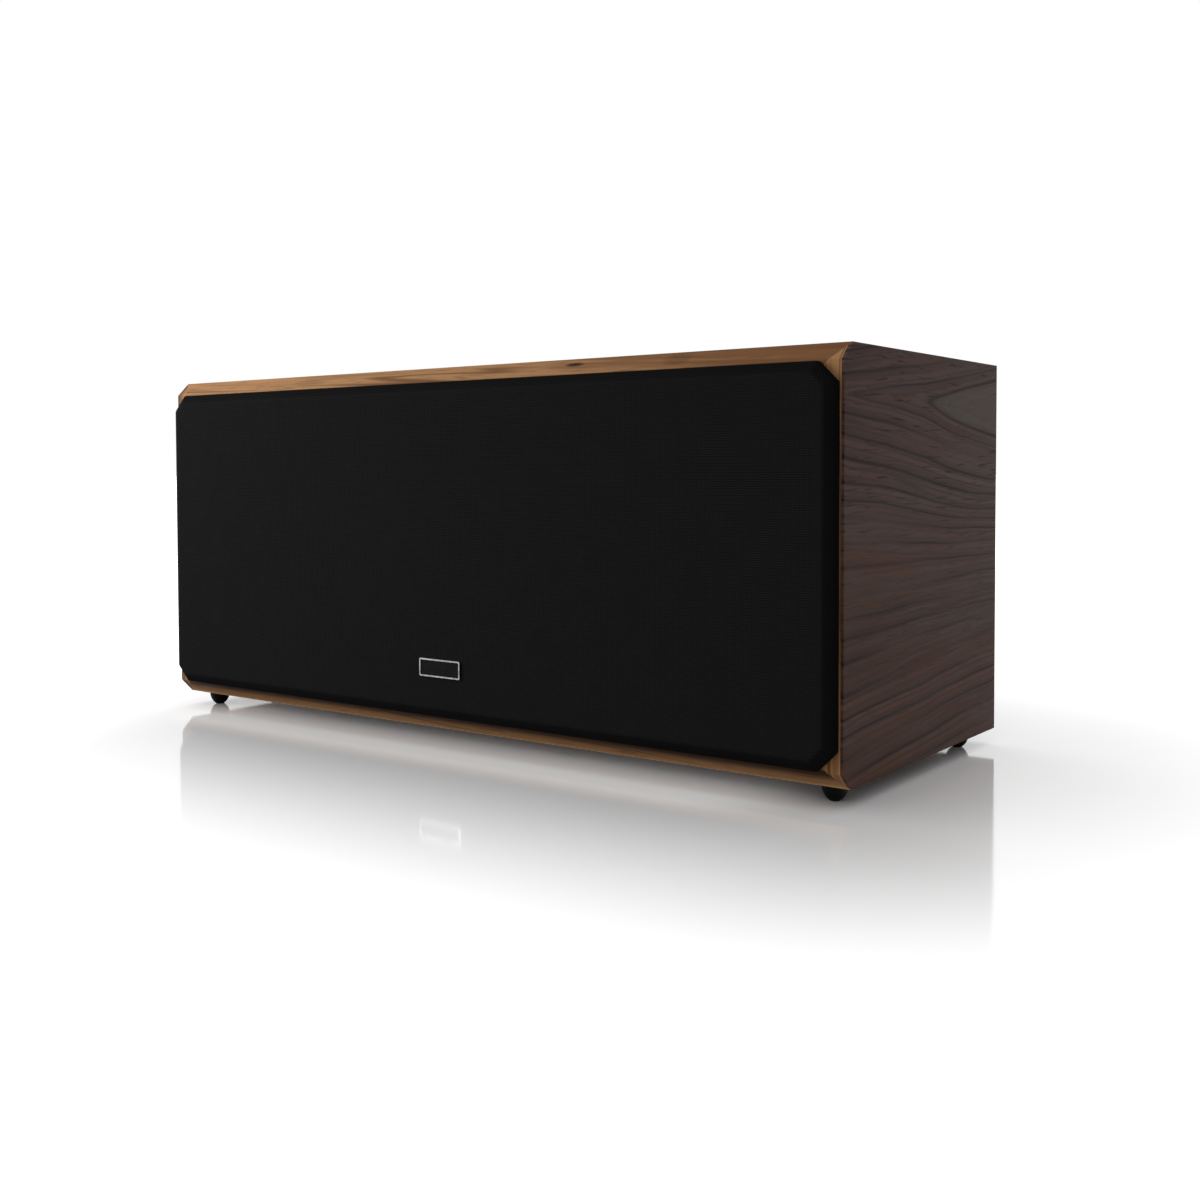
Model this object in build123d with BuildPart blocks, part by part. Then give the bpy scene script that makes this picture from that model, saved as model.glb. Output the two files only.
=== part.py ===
"""Center channel loudspeaker: veneered cabinet, two woofers and a tweeter behind a cloth grille.

Frame: millimetres, +Z up, the front faces -Y, X runs along the cabinet's width.
The origin is on the floor, under the middle of the whole object's box.
Depths ("d") are measured from the cabinet's front plane, positive towards the back.
"""
import os
from math import asin, cos, radians, sin, tan

from build123d import *

os.makedirs("parts", exist_ok=True)

# Cabinet
cabinet_width = 470.0
cabinet_height = 200.0
cabinet_depth = 188.0
panel_wall = 15.0
edge_chamfer = 8.0
baffle_thickness = 18.0
rear_thickness = 15.0
brace_thickness = 12.0
brace_driver_gap = 4.0
brace_rim = 26.0
brace_corner = 14.0

# Feet
foot_radius = 6.2
foot_height = 8.8
foot_flat_radius = 2.4
foot_wall = 1.6
foot_side_inset = 13.6
foot_end_inset = 19.6

# Grille
grille_side_gap = 2.2
grille_top_gap = 0.6
grille_back_gap = 0.3
grille_wall = 3.6
grille_bevel_depth = 3.0
grille_bevel_width = 5.4
grille_corner_clip = 9.5
cloth_thickness = 0.5
grille_window_margin = 8.0
grille_tweeter_margin = 4.0
peg_radius = 3.5
peg_length = 9.0
peg_hold = 3.5
peg_tip = 1.2
peg_columns = 3
peg_rows = 2
peg_side_inset = 30.0
peg_edge_inset = 25.0
socket_wall = 2.0
socket_flange = 1.6
socket_flange_thickness = 0.8
socket_floor = 2.0
badge_width = 29.4
badge_height = 9.8
badge_thickness = 1.2
badge_border = 0.8
badge_recess = 0.4
badge_corner = 1.0
badge_rise = 36.2

# Woofers
woofer_side_gap = 5.0
flange_recess = 1.0
woofer_radius = 70.0
woofer_flange = 5.0
woofer_face_width = 10.0
woofer_landing_drop = 2.0
woofer_landing_width = 4.0
woofer_cage_taper = 10.0
woofer_cage_depth = 29.5
woofer_ledge_width = 8.0
woofer_depth = 43.0
basket_wall = 1.5
basket_spokes = 6
spoke_width = 9.0
cage_window_margin = 3.0
neck_window_width = 22.0
neck_window_height = 6.0
neck_windows = 4
woofer_screw_inset = 5.0
woofer_screws = 4
roll_width = 9.5
cone_rim = 3.5
cone_neck_drop = 20.0
cone_thickness = 1.0
cone_bow = 0.6
cap_radius = 20.0
cap_height = 6.0
cap_lift = 0.4
cap_thickness = 0.8
roll_thickness = 0.7
spider_thickness = 0.6
spider_waves = 5
spider_wave_height = 1.1
coil_bore_radius = 12.7
coil_former_thickness = 0.4
coil_winding_thickness = 0.4
coil_winding_length = 11.0
coil_former_tail = 2.0
coil_top_rise = 1.2
woofer_plate_inset = 1.0
woofer_plate = 5.0
woofer_magnet_overhang = 3.0
woofer_magnet_bore = 17.0
woofer_magnet = 15.0
woofer_back_plate = 5.0
pole_vent_radius = 4.0
pole_gap = 0.3
plate_gap = 0.4

# Tweeter
tweeter_radius = 50.0
tweeter_flange = 5.0
tweeter_mouth_margin = 4.0
tweeter_guide_inset = 16.0
tweeter_guide_depth = 2.6
tweeter_screw_inset = 7.0
tweeter_screws = 4
dome_height = 4.0
dome_thickness = 0.4
dome_rise = 1.0
dome_coil_bore_radius = 12.5
dome_coil_length = 3.0
dome_former_tail = 1.0
dome_roll_thickness = 0.4
dome_roll_lip = 3.0
tweeter_plate_inset = 14.0
tweeter_plate = 4.0
tweeter_magnet_bore = 16.0
tweeter_magnet = 10.0
tweeter_back_plate = 4.0

# Screws, one size for drivers and terminal cup
screw_radius = 1.9
screw_head_radius = 3.7
screw_length = 14.0
screw_slot_width = 1.0
screw_slot_depth = 1.0
screw_clearance = 0.2
pilot_clearance = 0.05

# Ports in the rear panel
port_brace_gap = 3.5
port_bore_radius = 20.0
port_wall = 2.5
port_length = 95.0
port_flare = 4.5
port_flange = 2.5

# Terminal cup and binding posts in the rear panel
cup_width = 86.0
cup_height = 72.0
cup_flange = 2.5
cup_corner = 6.0
cup_recess_width = 61.0
cup_recess_height = 45.0
cup_recess_depth = 18.0
cup_wall = 2.5
cup_floor = 3.0
cup_draft = 6.0
cup_screw_inset = 6.0
post_spacing = 19.05
post_radius = 3.0
post_collar_radius = 6.5
post_collar = 3.0
post_tail = 12.0
post_wire_hole_radius = 1.25
post_wire_hole_rise = 1.8
banana_radius = 2.0
banana_depth = 8.0
washer_thickness = 1.0
post_cap_radius = 7.4
post_cap_length = 12.0
post_cap_roof = 1.2
post_cap_hole_radius = 2.6
post_cap_flutes = 10
post_cap_flute_radius = 1.0
post_fit = 0.06
post_stack_gap = 0.1
nut_radius = 5.6
nut_thickness = 4.0

# Crossover on the floor of the cabinet
board_thickness = 1.6
board_margin = 3.0
board_front = 52.0
standoff_radius = 3.5
standoff_height = 6.0
standoff_inset = 5.0
inductor_radius = 15.0
inductor_core_radius = 7.0
inductor_height = 16.0
inductor_cheek = 1.2
inductor_gap = 6.0
capacitor_radius = 6.0
capacitor_length = 26.0
capacitor_gap = 3.0
capacitor_count = 3
resistor_length = 22.0
resistor_side = 9.0
resistor_gap = 8.0
part_gap = 1.5

# Fits
driver_fit = 0.5
seat_fit = 0.05
peg_fit = 0.1
panel_hole_fit = 0.3

# Sizes that follow from those above
woofer_landing_radius = woofer_radius - woofer_face_width
woofer_mouth_radius = woofer_landing_radius - woofer_landing_width
woofer_throat_radius = woofer_mouth_radius - woofer_cage_taper
woofer_neck_radius = woofer_throat_radius - woofer_ledge_width
woofer_plate_radius = woofer_neck_radius - woofer_plate_inset
woofer_magnet_radius = woofer_plate_radius + woofer_magnet_overhang
woofer_screw_circle = woofer_radius - woofer_screw_inset
cone_radius = woofer_mouth_radius - roll_width
tweeter_mouth_radius = dome_coil_bore_radius + tweeter_mouth_margin
tweeter_guide_radius = tweeter_radius - tweeter_guide_inset
tweeter_plate_radius = tweeter_radius - tweeter_plate_inset
tweeter_screw_circle = tweeter_radius - tweeter_screw_inset
grille_window_radius = woofer_radius - grille_window_margin
grille_tweeter_window_radius = tweeter_radius - grille_tweeter_margin
screw_hole_radius = screw_radius + screw_clearance
screw_sink_radius = screw_head_radius + screw_clearance
port_outer = port_bore_radius + port_wall
woofer_spacing = cabinet_width - 2 * (panel_wall + woofer_side_gap + woofer_radius)
brace_spacing = 2 * (tweeter_plate_radius + brace_driver_gap) + brace_thickness
port_spacing = brace_spacing + brace_thickness + 2 * (port_outer + port_brace_gap)
peg_step_x = (cabinet_width - 2 * peg_side_inset) / (peg_columns - 1)
peg_step_z = (cabinet_height - 2 * peg_edge_inset) / (peg_rows - 1)
cup_screw_step_x = cup_width - 2 * cup_screw_inset
cup_screw_step_z = cup_height - 2 * cup_screw_inset
inductor_step = 2 * inductor_radius + inductor_gap
capacitor_step = 2 * capacitor_radius + capacitor_gap
resistor_step = resistor_length + resistor_gap

# Places worked out from the sizes above
grille_proud = grille_back_gap + grille_wall + grille_bevel_depth
object_depth = grille_proud + badge_thickness + cabinet_depth + max(cup_flange, port_flange)
front_y = grille_proud + badge_thickness - object_depth / 2
rear_y = front_y + cabinet_depth
bottom_z = foot_height
top_z = foot_height + cabinet_height
middle_z = foot_height + cabinet_height / 2
inner_width = cabinet_width - 2 * panel_wall
inner_height = cabinet_height - 2 * panel_wall
inner_depth = cabinet_depth - baffle_thickness - rear_thickness
front_plane = Plane(origin=(0, front_y, middle_z), x_dir=(1, 0, 0), z_dir=(0, -1, 0))
rear_plane = Plane(origin=(0, rear_y, middle_z), x_dir=(-1, 0, 0), z_dir=(0, 1, 0))
woofer_places = {"left": -woofer_spacing / 2, "right": woofer_spacing / 2}
port_places = {"left": -port_spacing / 2, "right": port_spacing / 2}
post_places = {"red": post_spacing / 2, "black": -post_spacing / 2}


def save(builder, name):
    """Label one finished piece and write it as a STEP file of its own."""
    builder.part.label = name
    export_step(builder.part, f"parts/{name}.step")
    print(name, len(builder.part.solids()), round(builder.part.volume))


def dome_middle(radius, edge, height):
    """Point half way along a spherical dome's profile, from its edge circle to its top on the axis."""
    sphere = (radius**2 + height**2) / (2 * height)
    half_angle = asin(radius / sphere) / 2
    return sphere * sin(half_angle), edge + height - sphere * (1 - cos(half_angle))


def turning_plane(x, y, facing):
    """Plane for a turned profile: local x is the radius, local y points out along facing * Y."""
    return Plane(origin=(x, y, middle_z), x_dir=(1, 0, 0), z_dir=(0, 0, facing))


def turning_axis(x, y, facing):
    """Axis of a turned piece, pointing out of the cabinet."""
    return Axis((x, y, middle_z), (0, facing, 0))


def driver_frame(x):
    """Profile plane, axis and front face plane of a driver whose flange front is flush in its recess."""
    y = front_y + flange_recess
    face = Plane(origin=(x, y, middle_z), x_dir=(1, 0, 0), z_dir=(0, -1, 0))
    return turning_plane(x, y, -1), turning_axis(x, y, -1), face


# Cabinet wrap: four mitred panels share one side outline, with the front edges of top and bottom bevelled
side_outline = (
    (front_y + edge_chamfer, bottom_z),
    (front_y, bottom_z + edge_chamfer),
    (front_y, top_z - edge_chamfer),
    (front_y + edge_chamfer, top_z),
    (rear_y, top_z),
    (rear_y, bottom_z),
)
half_width = cabinet_width / 2
outer_corners = ((half_width, top_z), (-half_width, top_z), (-half_width, bottom_z), (half_width, bottom_z))
inner_corners = tuple(
    (x - panel_wall if x > 0 else x + panel_wall, z - panel_wall if z > middle_z else z + panel_wall)
    for x, z in outer_corners
)
panel_names = ("top_panel", "left_side_panel", "bottom_panel", "right_side_panel")

for index, panel_name in enumerate(panel_names):
    after = (index + 1) % len(panel_names)
    with BuildPart() as panel:
        with BuildSketch(Plane.YZ.offset(-half_width)):
            Polygon(*side_outline, align=None)
        extrude(amount=cabinet_width)
        with BuildSketch(Plane.XZ.offset(-rear_y)):
            Polygon(
                outer_corners[index], outer_corners[after],
                inner_corners[after], inner_corners[index], align=None,
            )
        extrude(amount=cabinet_depth, mode=Mode.INTERSECT)
    save(panel, panel_name)

# Front baffle: stepped seats for the drivers, pilot holes for their screws, holes for the grille sockets
socket_radius = peg_radius + peg_fit + socket_wall
socket_depth = peg_length + socket_floor
basket_hole_radius = woofer_radius - woofer_flange - driver_fit - screw_head_radius
tweeter_hole_radius = tweeter_plate_radius + driver_fit
woofer_centres = [(x, 0) for x in woofer_places.values()]

with BuildPart() as front_baffle:
    with BuildSketch(front_plane):
        Rectangle(inner_width, inner_height)
    extrude(amount=-baffle_thickness)
    with Locations(front_plane):
        with Locations(*woofer_centres):
            CounterBoreHole(
                basket_hole_radius, woofer_radius + driver_fit,
                woofer_flange + flange_recess, baffle_thickness,
            )
            with PolarLocations(woofer_screw_circle, woofer_screws, start_angle=45):
                Hole(screw_radius + pilot_clearance, baffle_thickness)
        CounterBoreHole(
            tweeter_hole_radius, tweeter_radius + driver_fit,
            tweeter_flange + flange_recess, baffle_thickness,
        )
        with PolarLocations(tweeter_screw_circle, tweeter_screws, start_angle=45):
            Hole(screw_radius + pilot_clearance, baffle_thickness)
        with GridLocations(peg_step_x, peg_step_z, peg_columns, peg_rows):
            CounterBoreHole(
                socket_radius + seat_fit, socket_radius + socket_flange + seat_fit,
                socket_flange_thickness, socket_depth,
            )
save(front_baffle, "front_baffle")

# Rear panel: two port holes, one rounded window for the terminal cup, pilot holes for the cup's screws
cup_body_width = cup_recess_width + 2 * cup_wall
cup_body_height = cup_recess_height + 2 * cup_wall

with BuildPart() as rear_panel:
    with BuildSketch(rear_plane):
        Rectangle(inner_width, inner_height)
        with Locations(*[(x, 0) for x in port_places.values()]):
            Circle(port_bore_radius + port_wall + panel_hole_fit, mode=Mode.SUBTRACT)
        RectangleRounded(
            cup_body_width + 2 * panel_hole_fit, cup_body_height + 2 * panel_hole_fit,
            cup_corner, mode=Mode.SUBTRACT,
        )
    extrude(amount=-rear_thickness)
    with Locations(rear_plane):
        with GridLocations(cup_screw_step_x, cup_screw_step_z, 2, 2):
            Hole(screw_radius + pilot_clearance, rear_thickness)
save(rear_panel, "rear_panel")

# Window braces stand between the tweeter and the ports, from the baffle to the rear panel
for brace_side, brace_x in (("left", -brace_spacing / 2), ("right", brace_spacing / 2)):
    brace_plane = Plane.YZ.offset(brace_x - brace_thickness / 2)
    brace_centre = (front_y + baffle_thickness + inner_depth / 2, middle_z)
    with BuildPart() as brace:
        with BuildSketch(brace_plane):
            with Locations(brace_centre):
                Rectangle(inner_depth, inner_height)
                RectangleRounded(
                    inner_depth - 2 * brace_rim, inner_height - 2 * brace_rim,
                    brace_corner, mode=Mode.SUBTRACT,
                )
        extrude(amount=brace_thickness)
    save(brace, f"{brace_side}_brace")

# Feet: rubber domes with a small flat to stand on
foot_x = half_width - foot_side_inset
foot_places = {
    "front_left_foot": (-foot_x, front_y + foot_end_inset),
    "front_right_foot": (foot_x, front_y + foot_end_inset),
    "rear_left_foot": (-foot_x, rear_y - foot_end_inset),
    "rear_right_foot": (foot_x, rear_y - foot_end_inset),
}
foot_shoulder = (foot_radius, foot_height - foot_wall)
foot_toe = (foot_flat_radius, 0)
for foot_name, (x, y) in foot_places.items():
    with BuildPart() as foot:
        with BuildSketch(Plane(origin=(x, y, 0), x_dir=(1, 0, 0), z_dir=(0, -1, 0))):
            with BuildLine():
                Polyline((0, 0), (0, foot_height), (foot_radius, foot_height), foot_shoulder)
                TangentArc(foot_shoulder, foot_toe, tangent=(0, -1))
                Line(foot_toe, (0, 0))
            make_face()
        revolve(axis=Axis((x, y, 0), (0, 0, 1)))
    save(foot, foot_name)

# Grille outline, a rectangle with clipped corners, seen from the front
grille_half_width = half_width - grille_side_gap
grille_half_height = cabinet_height / 2 - edge_chamfer - grille_top_gap
clip_run = tan(radians(22.5))


def clipped_rectangle(inset):
    """Corner points of the grille outline moved in by inset, with the clipped corners moved in alike."""
    w = grille_half_width - inset
    h = grille_half_height - inset
    c = grille_corner_clip - inset * (1 - clip_run)
    return (
        (w, -h + c), (w, h - c), (w - c, h), (-w + c, h),
        (-w, h - c), (-w, -h + c), (-w + c, -h), (w - c, -h),
    )


# Share of the inset by which the bevel under the cloth starts lower
cloth_bevel_step = 0.5


def grille_form(inset):
    """Straight wall, then a bevel up to the front face; inset makes the form that lies under the cloth."""
    wall_height = grille_wall - inset * cloth_bevel_step
    with BuildPart() as form:
        with BuildSketch(front_plane.offset(grille_back_gap)):
            Polygon(*clipped_rectangle(inset), align=None)
        extrude(amount=wall_height)
        with BuildSketch(front_plane.offset(grille_back_gap + wall_height)):
            Polygon(*clipped_rectangle(inset), align=None)
        with BuildSketch(front_plane.offset(grille_proud - inset)):
            Polygon(*clipped_rectangle(inset + grille_bevel_width), align=None)
        loft(ruled=True)
    return form.part


cloth_form = grille_form(0)
frame_form = grille_form(cloth_thickness)

with BuildPart() as grille_frame:
    add(frame_form)
    with BuildSketch(front_plane):
        with Locations(*woofer_centres):
            Circle(grille_window_radius)
        Circle(grille_tweeter_window_radius)
    extrude(amount=grille_proud, mode=Mode.SUBTRACT)
    with Locations(front_plane.offset(grille_back_gap).rotated((180, 0, 0))):
        with GridLocations(peg_step_x, peg_step_z, peg_columns, peg_rows):
            Hole(peg_radius + seat_fit, peg_hold)
save(grille_frame, "grille_frame")

with BuildPart() as grille_cloth:
    add(cloth_form)
    add(frame_form, mode=Mode.SUBTRACT)
save(grille_cloth, "grille_cloth")

# Pegs of the grille, and the sockets in the baffle that grip them
with BuildPart() as peg:
    with BuildSketch(Plane.XZ):
        with BuildLine():
            Polyline(
                (0, peg_hold), (peg_radius, peg_hold), (peg_radius, -grille_back_gap - peg_length + peg_tip),
                (peg_radius - peg_tip, -grille_back_gap - peg_length), (0, -grille_back_gap - peg_length),
                close=True,
            )
        make_face()
    revolve(axis=Axis.Z)

with BuildPart() as socket:
    with BuildSketch(Plane.XZ):
        with BuildLine():
            Polyline(
                (peg_radius + peg_fit, 0), (socket_radius + socket_flange, 0),
                (socket_radius + socket_flange, -socket_flange_thickness),
                (socket_radius, -socket_flange_thickness), (socket_radius, -socket_depth),
                (0, -socket_depth), (0, -peg_length - peg_fit),
                (peg_radius + peg_fit, -peg_length - peg_fit), close=True,
            )
        make_face()
    revolve(axis=Axis.Z)

with BuildPart() as grille_pegs:
    with Locations(front_plane.offset(grille_back_gap)):
        with GridLocations(peg_step_x, peg_step_z, peg_columns, peg_rows):
            add(peg.part)
save(grille_pegs, "grille_pegs")

with BuildPart() as grille_sockets:
    with Locations(front_plane):
        with GridLocations(peg_step_x, peg_step_z, peg_columns, peg_rows):
            add(socket.part)
save(grille_sockets, "grille_sockets")

# Badge: a bright rim round a plain dark plate, on the cloth below the middle
badge_place = Plane(
    origin=(0, front_y - grille_proud, bottom_z + badge_rise), x_dir=(1, 0, 0), z_dir=(0, -1, 0)
)
plate_width = badge_width - 2 * badge_border
plate_height = badge_height - 2 * badge_border

with BuildPart() as badge_frame:
    with BuildSketch(badge_place):
        RectangleRounded(badge_width, badge_height, badge_corner)
        Rectangle(plate_width, plate_height, mode=Mode.SUBTRACT)
    extrude(amount=badge_thickness)
save(badge_frame, "badge_frame")

with BuildPart() as badge_plate:
    with BuildSketch(badge_place):
        Rectangle(plate_width, plate_height)
    extrude(amount=badge_thickness - badge_recess)
save(badge_plate, "badge_plate")

# Woofer sizes shared by its pieces, as heights along the axis from the flange front
landing = -woofer_landing_drop
cone_top = landing - seat_fit
cage_floor = -woofer_cage_depth
neck_floor = -woofer_depth
plate_back = neck_floor - woofer_plate
magnet_back = plate_back - woofer_magnet
yoke_back = magnet_back - woofer_back_plate
former_radius = coil_bore_radius + coil_former_thickness
winding_radius = former_radius + coil_winding_thickness
pole_radius = coil_bore_radius - pole_gap
plate_bore = winding_radius + plate_gap
gap_middle = neck_floor - woofer_plate / 2
cone_neck = cone_top - cone_neck_drop
cone_bore = former_radius + seat_fit
cage_foot = woofer_throat_radius - basket_wall
neck_inner = woofer_neck_radius - basket_wall
ledge_back = cage_floor - basket_wall
cage_top_radius = woofer_mouth_radius + 2 * basket_wall
roll_centre = (cone_radius + woofer_mouth_radius) / 2
roll_inner = (woofer_mouth_radius - cone_radius) / 2 - roll_thickness
roll_outer = roll_inner + roll_thickness
lip_top = landing + roll_thickness
lip_run = (roll_outer**2 - roll_thickness**2) ** 0.5
rim_inner = cone_radius - cone_rim


def on_cone(r):
    """Height of the straight line from the cone's neck to the foot of its rim."""
    return cone_neck + (r - cone_bore) * cone_neck_drop / (rim_inner - cone_bore)


def spider_curve(lift):
    """Corrugated line from the coil out to the flat lip of the spider, as a list of edges' points."""
    start = former_radius + seat_fit
    step = (neck_inner - start) / spider_waves
    points = []
    for wave in range(spider_waves):
        side = 1 if wave % 2 == 0 else -1
        r = start + wave * step
        points.append(((r, lift), (r + step / 2, lift + side * spider_wave_height), (r + step, lift)))
    return points


for woofer_side, woofer_x in woofer_places.items():
    profile, axis, face = driver_frame(woofer_x)

    with BuildPart() as basket:
        with BuildSketch(profile):
            with BuildLine():
                Polyline(
                    (woofer_landing_radius, 0), (woofer_radius, 0), (woofer_radius, -woofer_flange),
                    (cage_top_radius, -woofer_flange), (woofer_throat_radius, cage_floor),
                    (woofer_throat_radius, ledge_back), (woofer_neck_radius, ledge_back),
                    (woofer_neck_radius, neck_floor), (woofer_magnet_bore, neck_floor),
                    (woofer_magnet_bore, neck_floor + basket_wall), (neck_inner, neck_floor + basket_wall),
                    (neck_inner, cage_floor), (cage_foot, cage_floor),
                    (woofer_mouth_radius, -woofer_flange), (woofer_mouth_radius, landing),
                    (woofer_landing_radius, landing), close=True,
                )
            make_face()
        revolve(axis=axis)
        with BuildSketch(face.offset(-woofer_flange - cage_window_margin)):
            Circle(cage_top_radius + basket_wall)
            Circle(cage_foot - basket_wall, mode=Mode.SUBTRACT)
            with PolarLocations(0, basket_spokes // 2):
                Rectangle(2 * woofer_radius, spoke_width, mode=Mode.SUBTRACT)
        extrude(amount=cage_floor + woofer_flange + 2 * cage_window_margin, mode=Mode.SUBTRACT)
        with Locations(face.offset((neck_floor + ledge_back) / 2)):
            with PolarLocations(woofer_neck_radius, neck_windows):
                Box(4 * basket_wall, neck_window_width, neck_window_height, mode=Mode.SUBTRACT)
        with Locations(face):
            with PolarLocations(woofer_screw_circle, woofer_screws, start_angle=45):
                CounterSinkHole(screw_hole_radius, screw_sink_radius, woofer_flange)
    save(basket, f"{woofer_side}_woofer_basket")

    with BuildPart() as top_plate:
        with BuildSketch(profile):
            with BuildLine():
                Polyline(
                    (plate_bore, neck_floor), (woofer_plate_radius, neck_floor),
                    (woofer_plate_radius, plate_back), (plate_bore, plate_back), close=True,
                )
            make_face()
        revolve(axis=axis)
    save(top_plate, f"{woofer_side}_woofer_top_plate")

    with BuildPart() as magnet:
        with BuildSketch(profile):
            with BuildLine():
                Polyline(
                    (woofer_magnet_bore, plate_back), (woofer_magnet_radius, plate_back),
                    (woofer_magnet_radius, magnet_back), (woofer_magnet_bore, magnet_back), close=True,
                )
            make_face()
        revolve(axis=axis)
    save(magnet, f"{woofer_side}_woofer_magnet")

    with BuildPart() as yoke:
        with BuildSketch(profile):
            with BuildLine():
                Polyline(
                    (pole_vent_radius, neck_floor), (pole_radius, neck_floor), (pole_radius, magnet_back),
                    (woofer_plate_radius, magnet_back), (woofer_plate_radius, yoke_back),
                    (pole_vent_radius, yoke_back), close=True,
                )
            make_face()
        revolve(axis=axis)
    save(yoke, f"{woofer_side}_woofer_yoke")

    with BuildPart() as voice_coil:
        winding_top = gap_middle + coil_winding_length / 2
        winding_end = gap_middle - coil_winding_length / 2
        with BuildSketch(profile):
            with BuildLine():
                Polyline(
                    (coil_bore_radius, cone_neck + coil_top_rise),
                    (former_radius, cone_neck + coil_top_rise), (former_radius, winding_top),
                    (winding_radius, winding_top), (winding_radius, winding_end),
                    (former_radius, winding_end), (former_radius, winding_end - coil_former_tail),
                    (coil_bore_radius, winding_end - coil_former_tail), close=True,
                )
            make_face()
        revolve(axis=axis)
    save(voice_coil, f"{woofer_side}_woofer_voice_coil")

    with BuildPart() as cone:
        bow_radius = (cone_bore + rim_inner) / 2
        with BuildSketch(profile):
            with BuildLine():
                ThreePointArc(
                    (cone_bore, cone_neck), (bow_radius, on_cone(bow_radius) + cone_bow),
                    (rim_inner, cone_top),
                )
                Polyline(
                    (rim_inner, cone_top), (cone_radius, cone_top), (cone_radius, cone_top - cone_thickness),
                    (rim_inner, cone_top - cone_thickness),
                )
                ThreePointArc(
                    (rim_inner, cone_top - cone_thickness),
                    (bow_radius, on_cone(bow_radius) + cone_bow - cone_thickness),
                    (cone_bore, cone_neck - cone_thickness),
                )
                Line((cone_bore, cone_neck - cone_thickness), (cone_bore, cone_neck))
            make_face()
        revolve(axis=axis)
    save(cone, f"{woofer_side}_woofer_cone")

    with BuildPart() as dust_cap:
        cap_edge = on_cone(cap_radius) + cone_bow + cap_lift
        cap_top = cap_edge + cap_height
        cap_under = cap_radius - cap_thickness
        cap_rise = cap_height - cap_thickness
        with BuildSketch(profile):
            with BuildLine():
                Line((0, cap_top - cap_thickness), (0, cap_top))
                ThreePointArc(
                    (0, cap_top), dome_middle(cap_radius, cap_edge, cap_height), (cap_radius, cap_edge)
                )
                Line((cap_radius, cap_edge), (cap_under, cap_edge))
                ThreePointArc(
                    (cap_under, cap_edge), dome_middle(cap_under, cap_edge, cap_rise),
                    (0, cap_top - cap_thickness),
                )
            make_face()
        revolve(axis=axis)
    save(dust_cap, f"{woofer_side}_woofer_dust_cap")

    with BuildPart() as surround:
        with BuildSketch(profile):
            with BuildLine():
                Line((rim_inner, landing), (roll_centre - roll_inner, landing))
                ThreePointArc(
                    (roll_centre - roll_inner, landing), (roll_centre, landing + roll_inner),
                    (roll_centre + roll_inner, landing),
                )
                Polyline(
                    (roll_centre + roll_inner, landing), (woofer_landing_radius - seat_fit, landing),
                    (woofer_landing_radius - seat_fit, lip_top), (roll_centre + lip_run, lip_top),
                )
                ThreePointArc(
                    (roll_centre + lip_run, lip_top), (roll_centre, landing + roll_outer),
                    (roll_centre - lip_run, lip_top),
                )
                Polyline((roll_centre - lip_run, lip_top), (rim_inner, lip_top), (rim_inner, landing))
            make_face()
        revolve(axis=axis)
    save(surround, f"{woofer_side}_woofer_surround")

    with BuildPart() as spider:
        spider_lip = cage_foot - seat_fit
        spider_front = cage_floor + spider_thickness
        lower = spider_curve(cage_floor)
        upper = spider_curve(spider_front)
        with BuildSketch(profile):
            with BuildLine():
                for start, middle, end in lower:
                    ThreePointArc(start, middle, end)
                Polyline(lower[-1][2], (spider_lip, cage_floor), (spider_lip, spider_front), upper[-1][2])
                for start, middle, end in reversed(upper):
                    ThreePointArc(end, middle, start)
                Line(upper[0][0], lower[0][0])
            make_face()
        revolve(axis=axis)
    save(spider, f"{woofer_side}_woofer_spider")

# Tweeter, as heights along its axis from the faceplate's front
profile, axis, face = driver_frame(0)
plate_front = -tweeter_flange
tweeter_plate_back = plate_front - tweeter_plate
tweeter_magnet_back = tweeter_plate_back - tweeter_magnet
tweeter_yoke_back = tweeter_magnet_back - tweeter_back_plate
dome_edge = plate_front + dome_rise
dome_former_radius = dome_coil_bore_radius + coil_former_thickness
dome_winding_radius = dome_former_radius + coil_winding_thickness
dome_pole_radius = dome_coil_bore_radius - pole_gap
dome_plate_bore = dome_winding_radius + plate_gap
dome_gap_middle = plate_front - tweeter_plate / 2
dome_lip_inner = dome_former_radius + seat_fit
dome_lip_outer = tweeter_mouth_radius + dome_roll_lip
dome_roll_radius = (tweeter_mouth_radius - dome_plate_bore) / 2 - seat_fit
dome_roll_centre = tweeter_mouth_radius - dome_roll_radius - 2 * seat_fit
dome_roll_inner = dome_roll_radius - dome_roll_thickness
dome_lip_run = (dome_roll_radius**2 - dome_roll_thickness**2) ** 0.5
dome_lip_top = plate_front + dome_roll_thickness
dome_seat = dome_roll_thickness + seat_fit

with BuildPart() as tweeter_faceplate:
    guide_mid = (tweeter_mouth_radius + tweeter_guide_radius) / 2
    with BuildSketch(profile):
        with BuildLine():
            Polyline(
                (tweeter_guide_radius, 0), (tweeter_radius, 0), (tweeter_radius, plate_front),
                (dome_lip_outer + seat_fit, plate_front),
                (dome_lip_outer + seat_fit, plate_front + dome_seat),
                (tweeter_mouth_radius, plate_front + dome_seat),
                (tweeter_mouth_radius, -tweeter_guide_depth),
            )
            ThreePointArc(
                (tweeter_mouth_radius, -tweeter_guide_depth), (guide_mid, -tweeter_guide_depth * 0.4),
                (tweeter_guide_radius, 0),
            )
        make_face()
    revolve(axis=axis)
    with Locations(face):
        with PolarLocations(tweeter_screw_circle, tweeter_screws, start_angle=45):
            CounterSinkHole(screw_hole_radius, screw_sink_radius, tweeter_flange)
save(tweeter_faceplate, "tweeter_faceplate")

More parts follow.
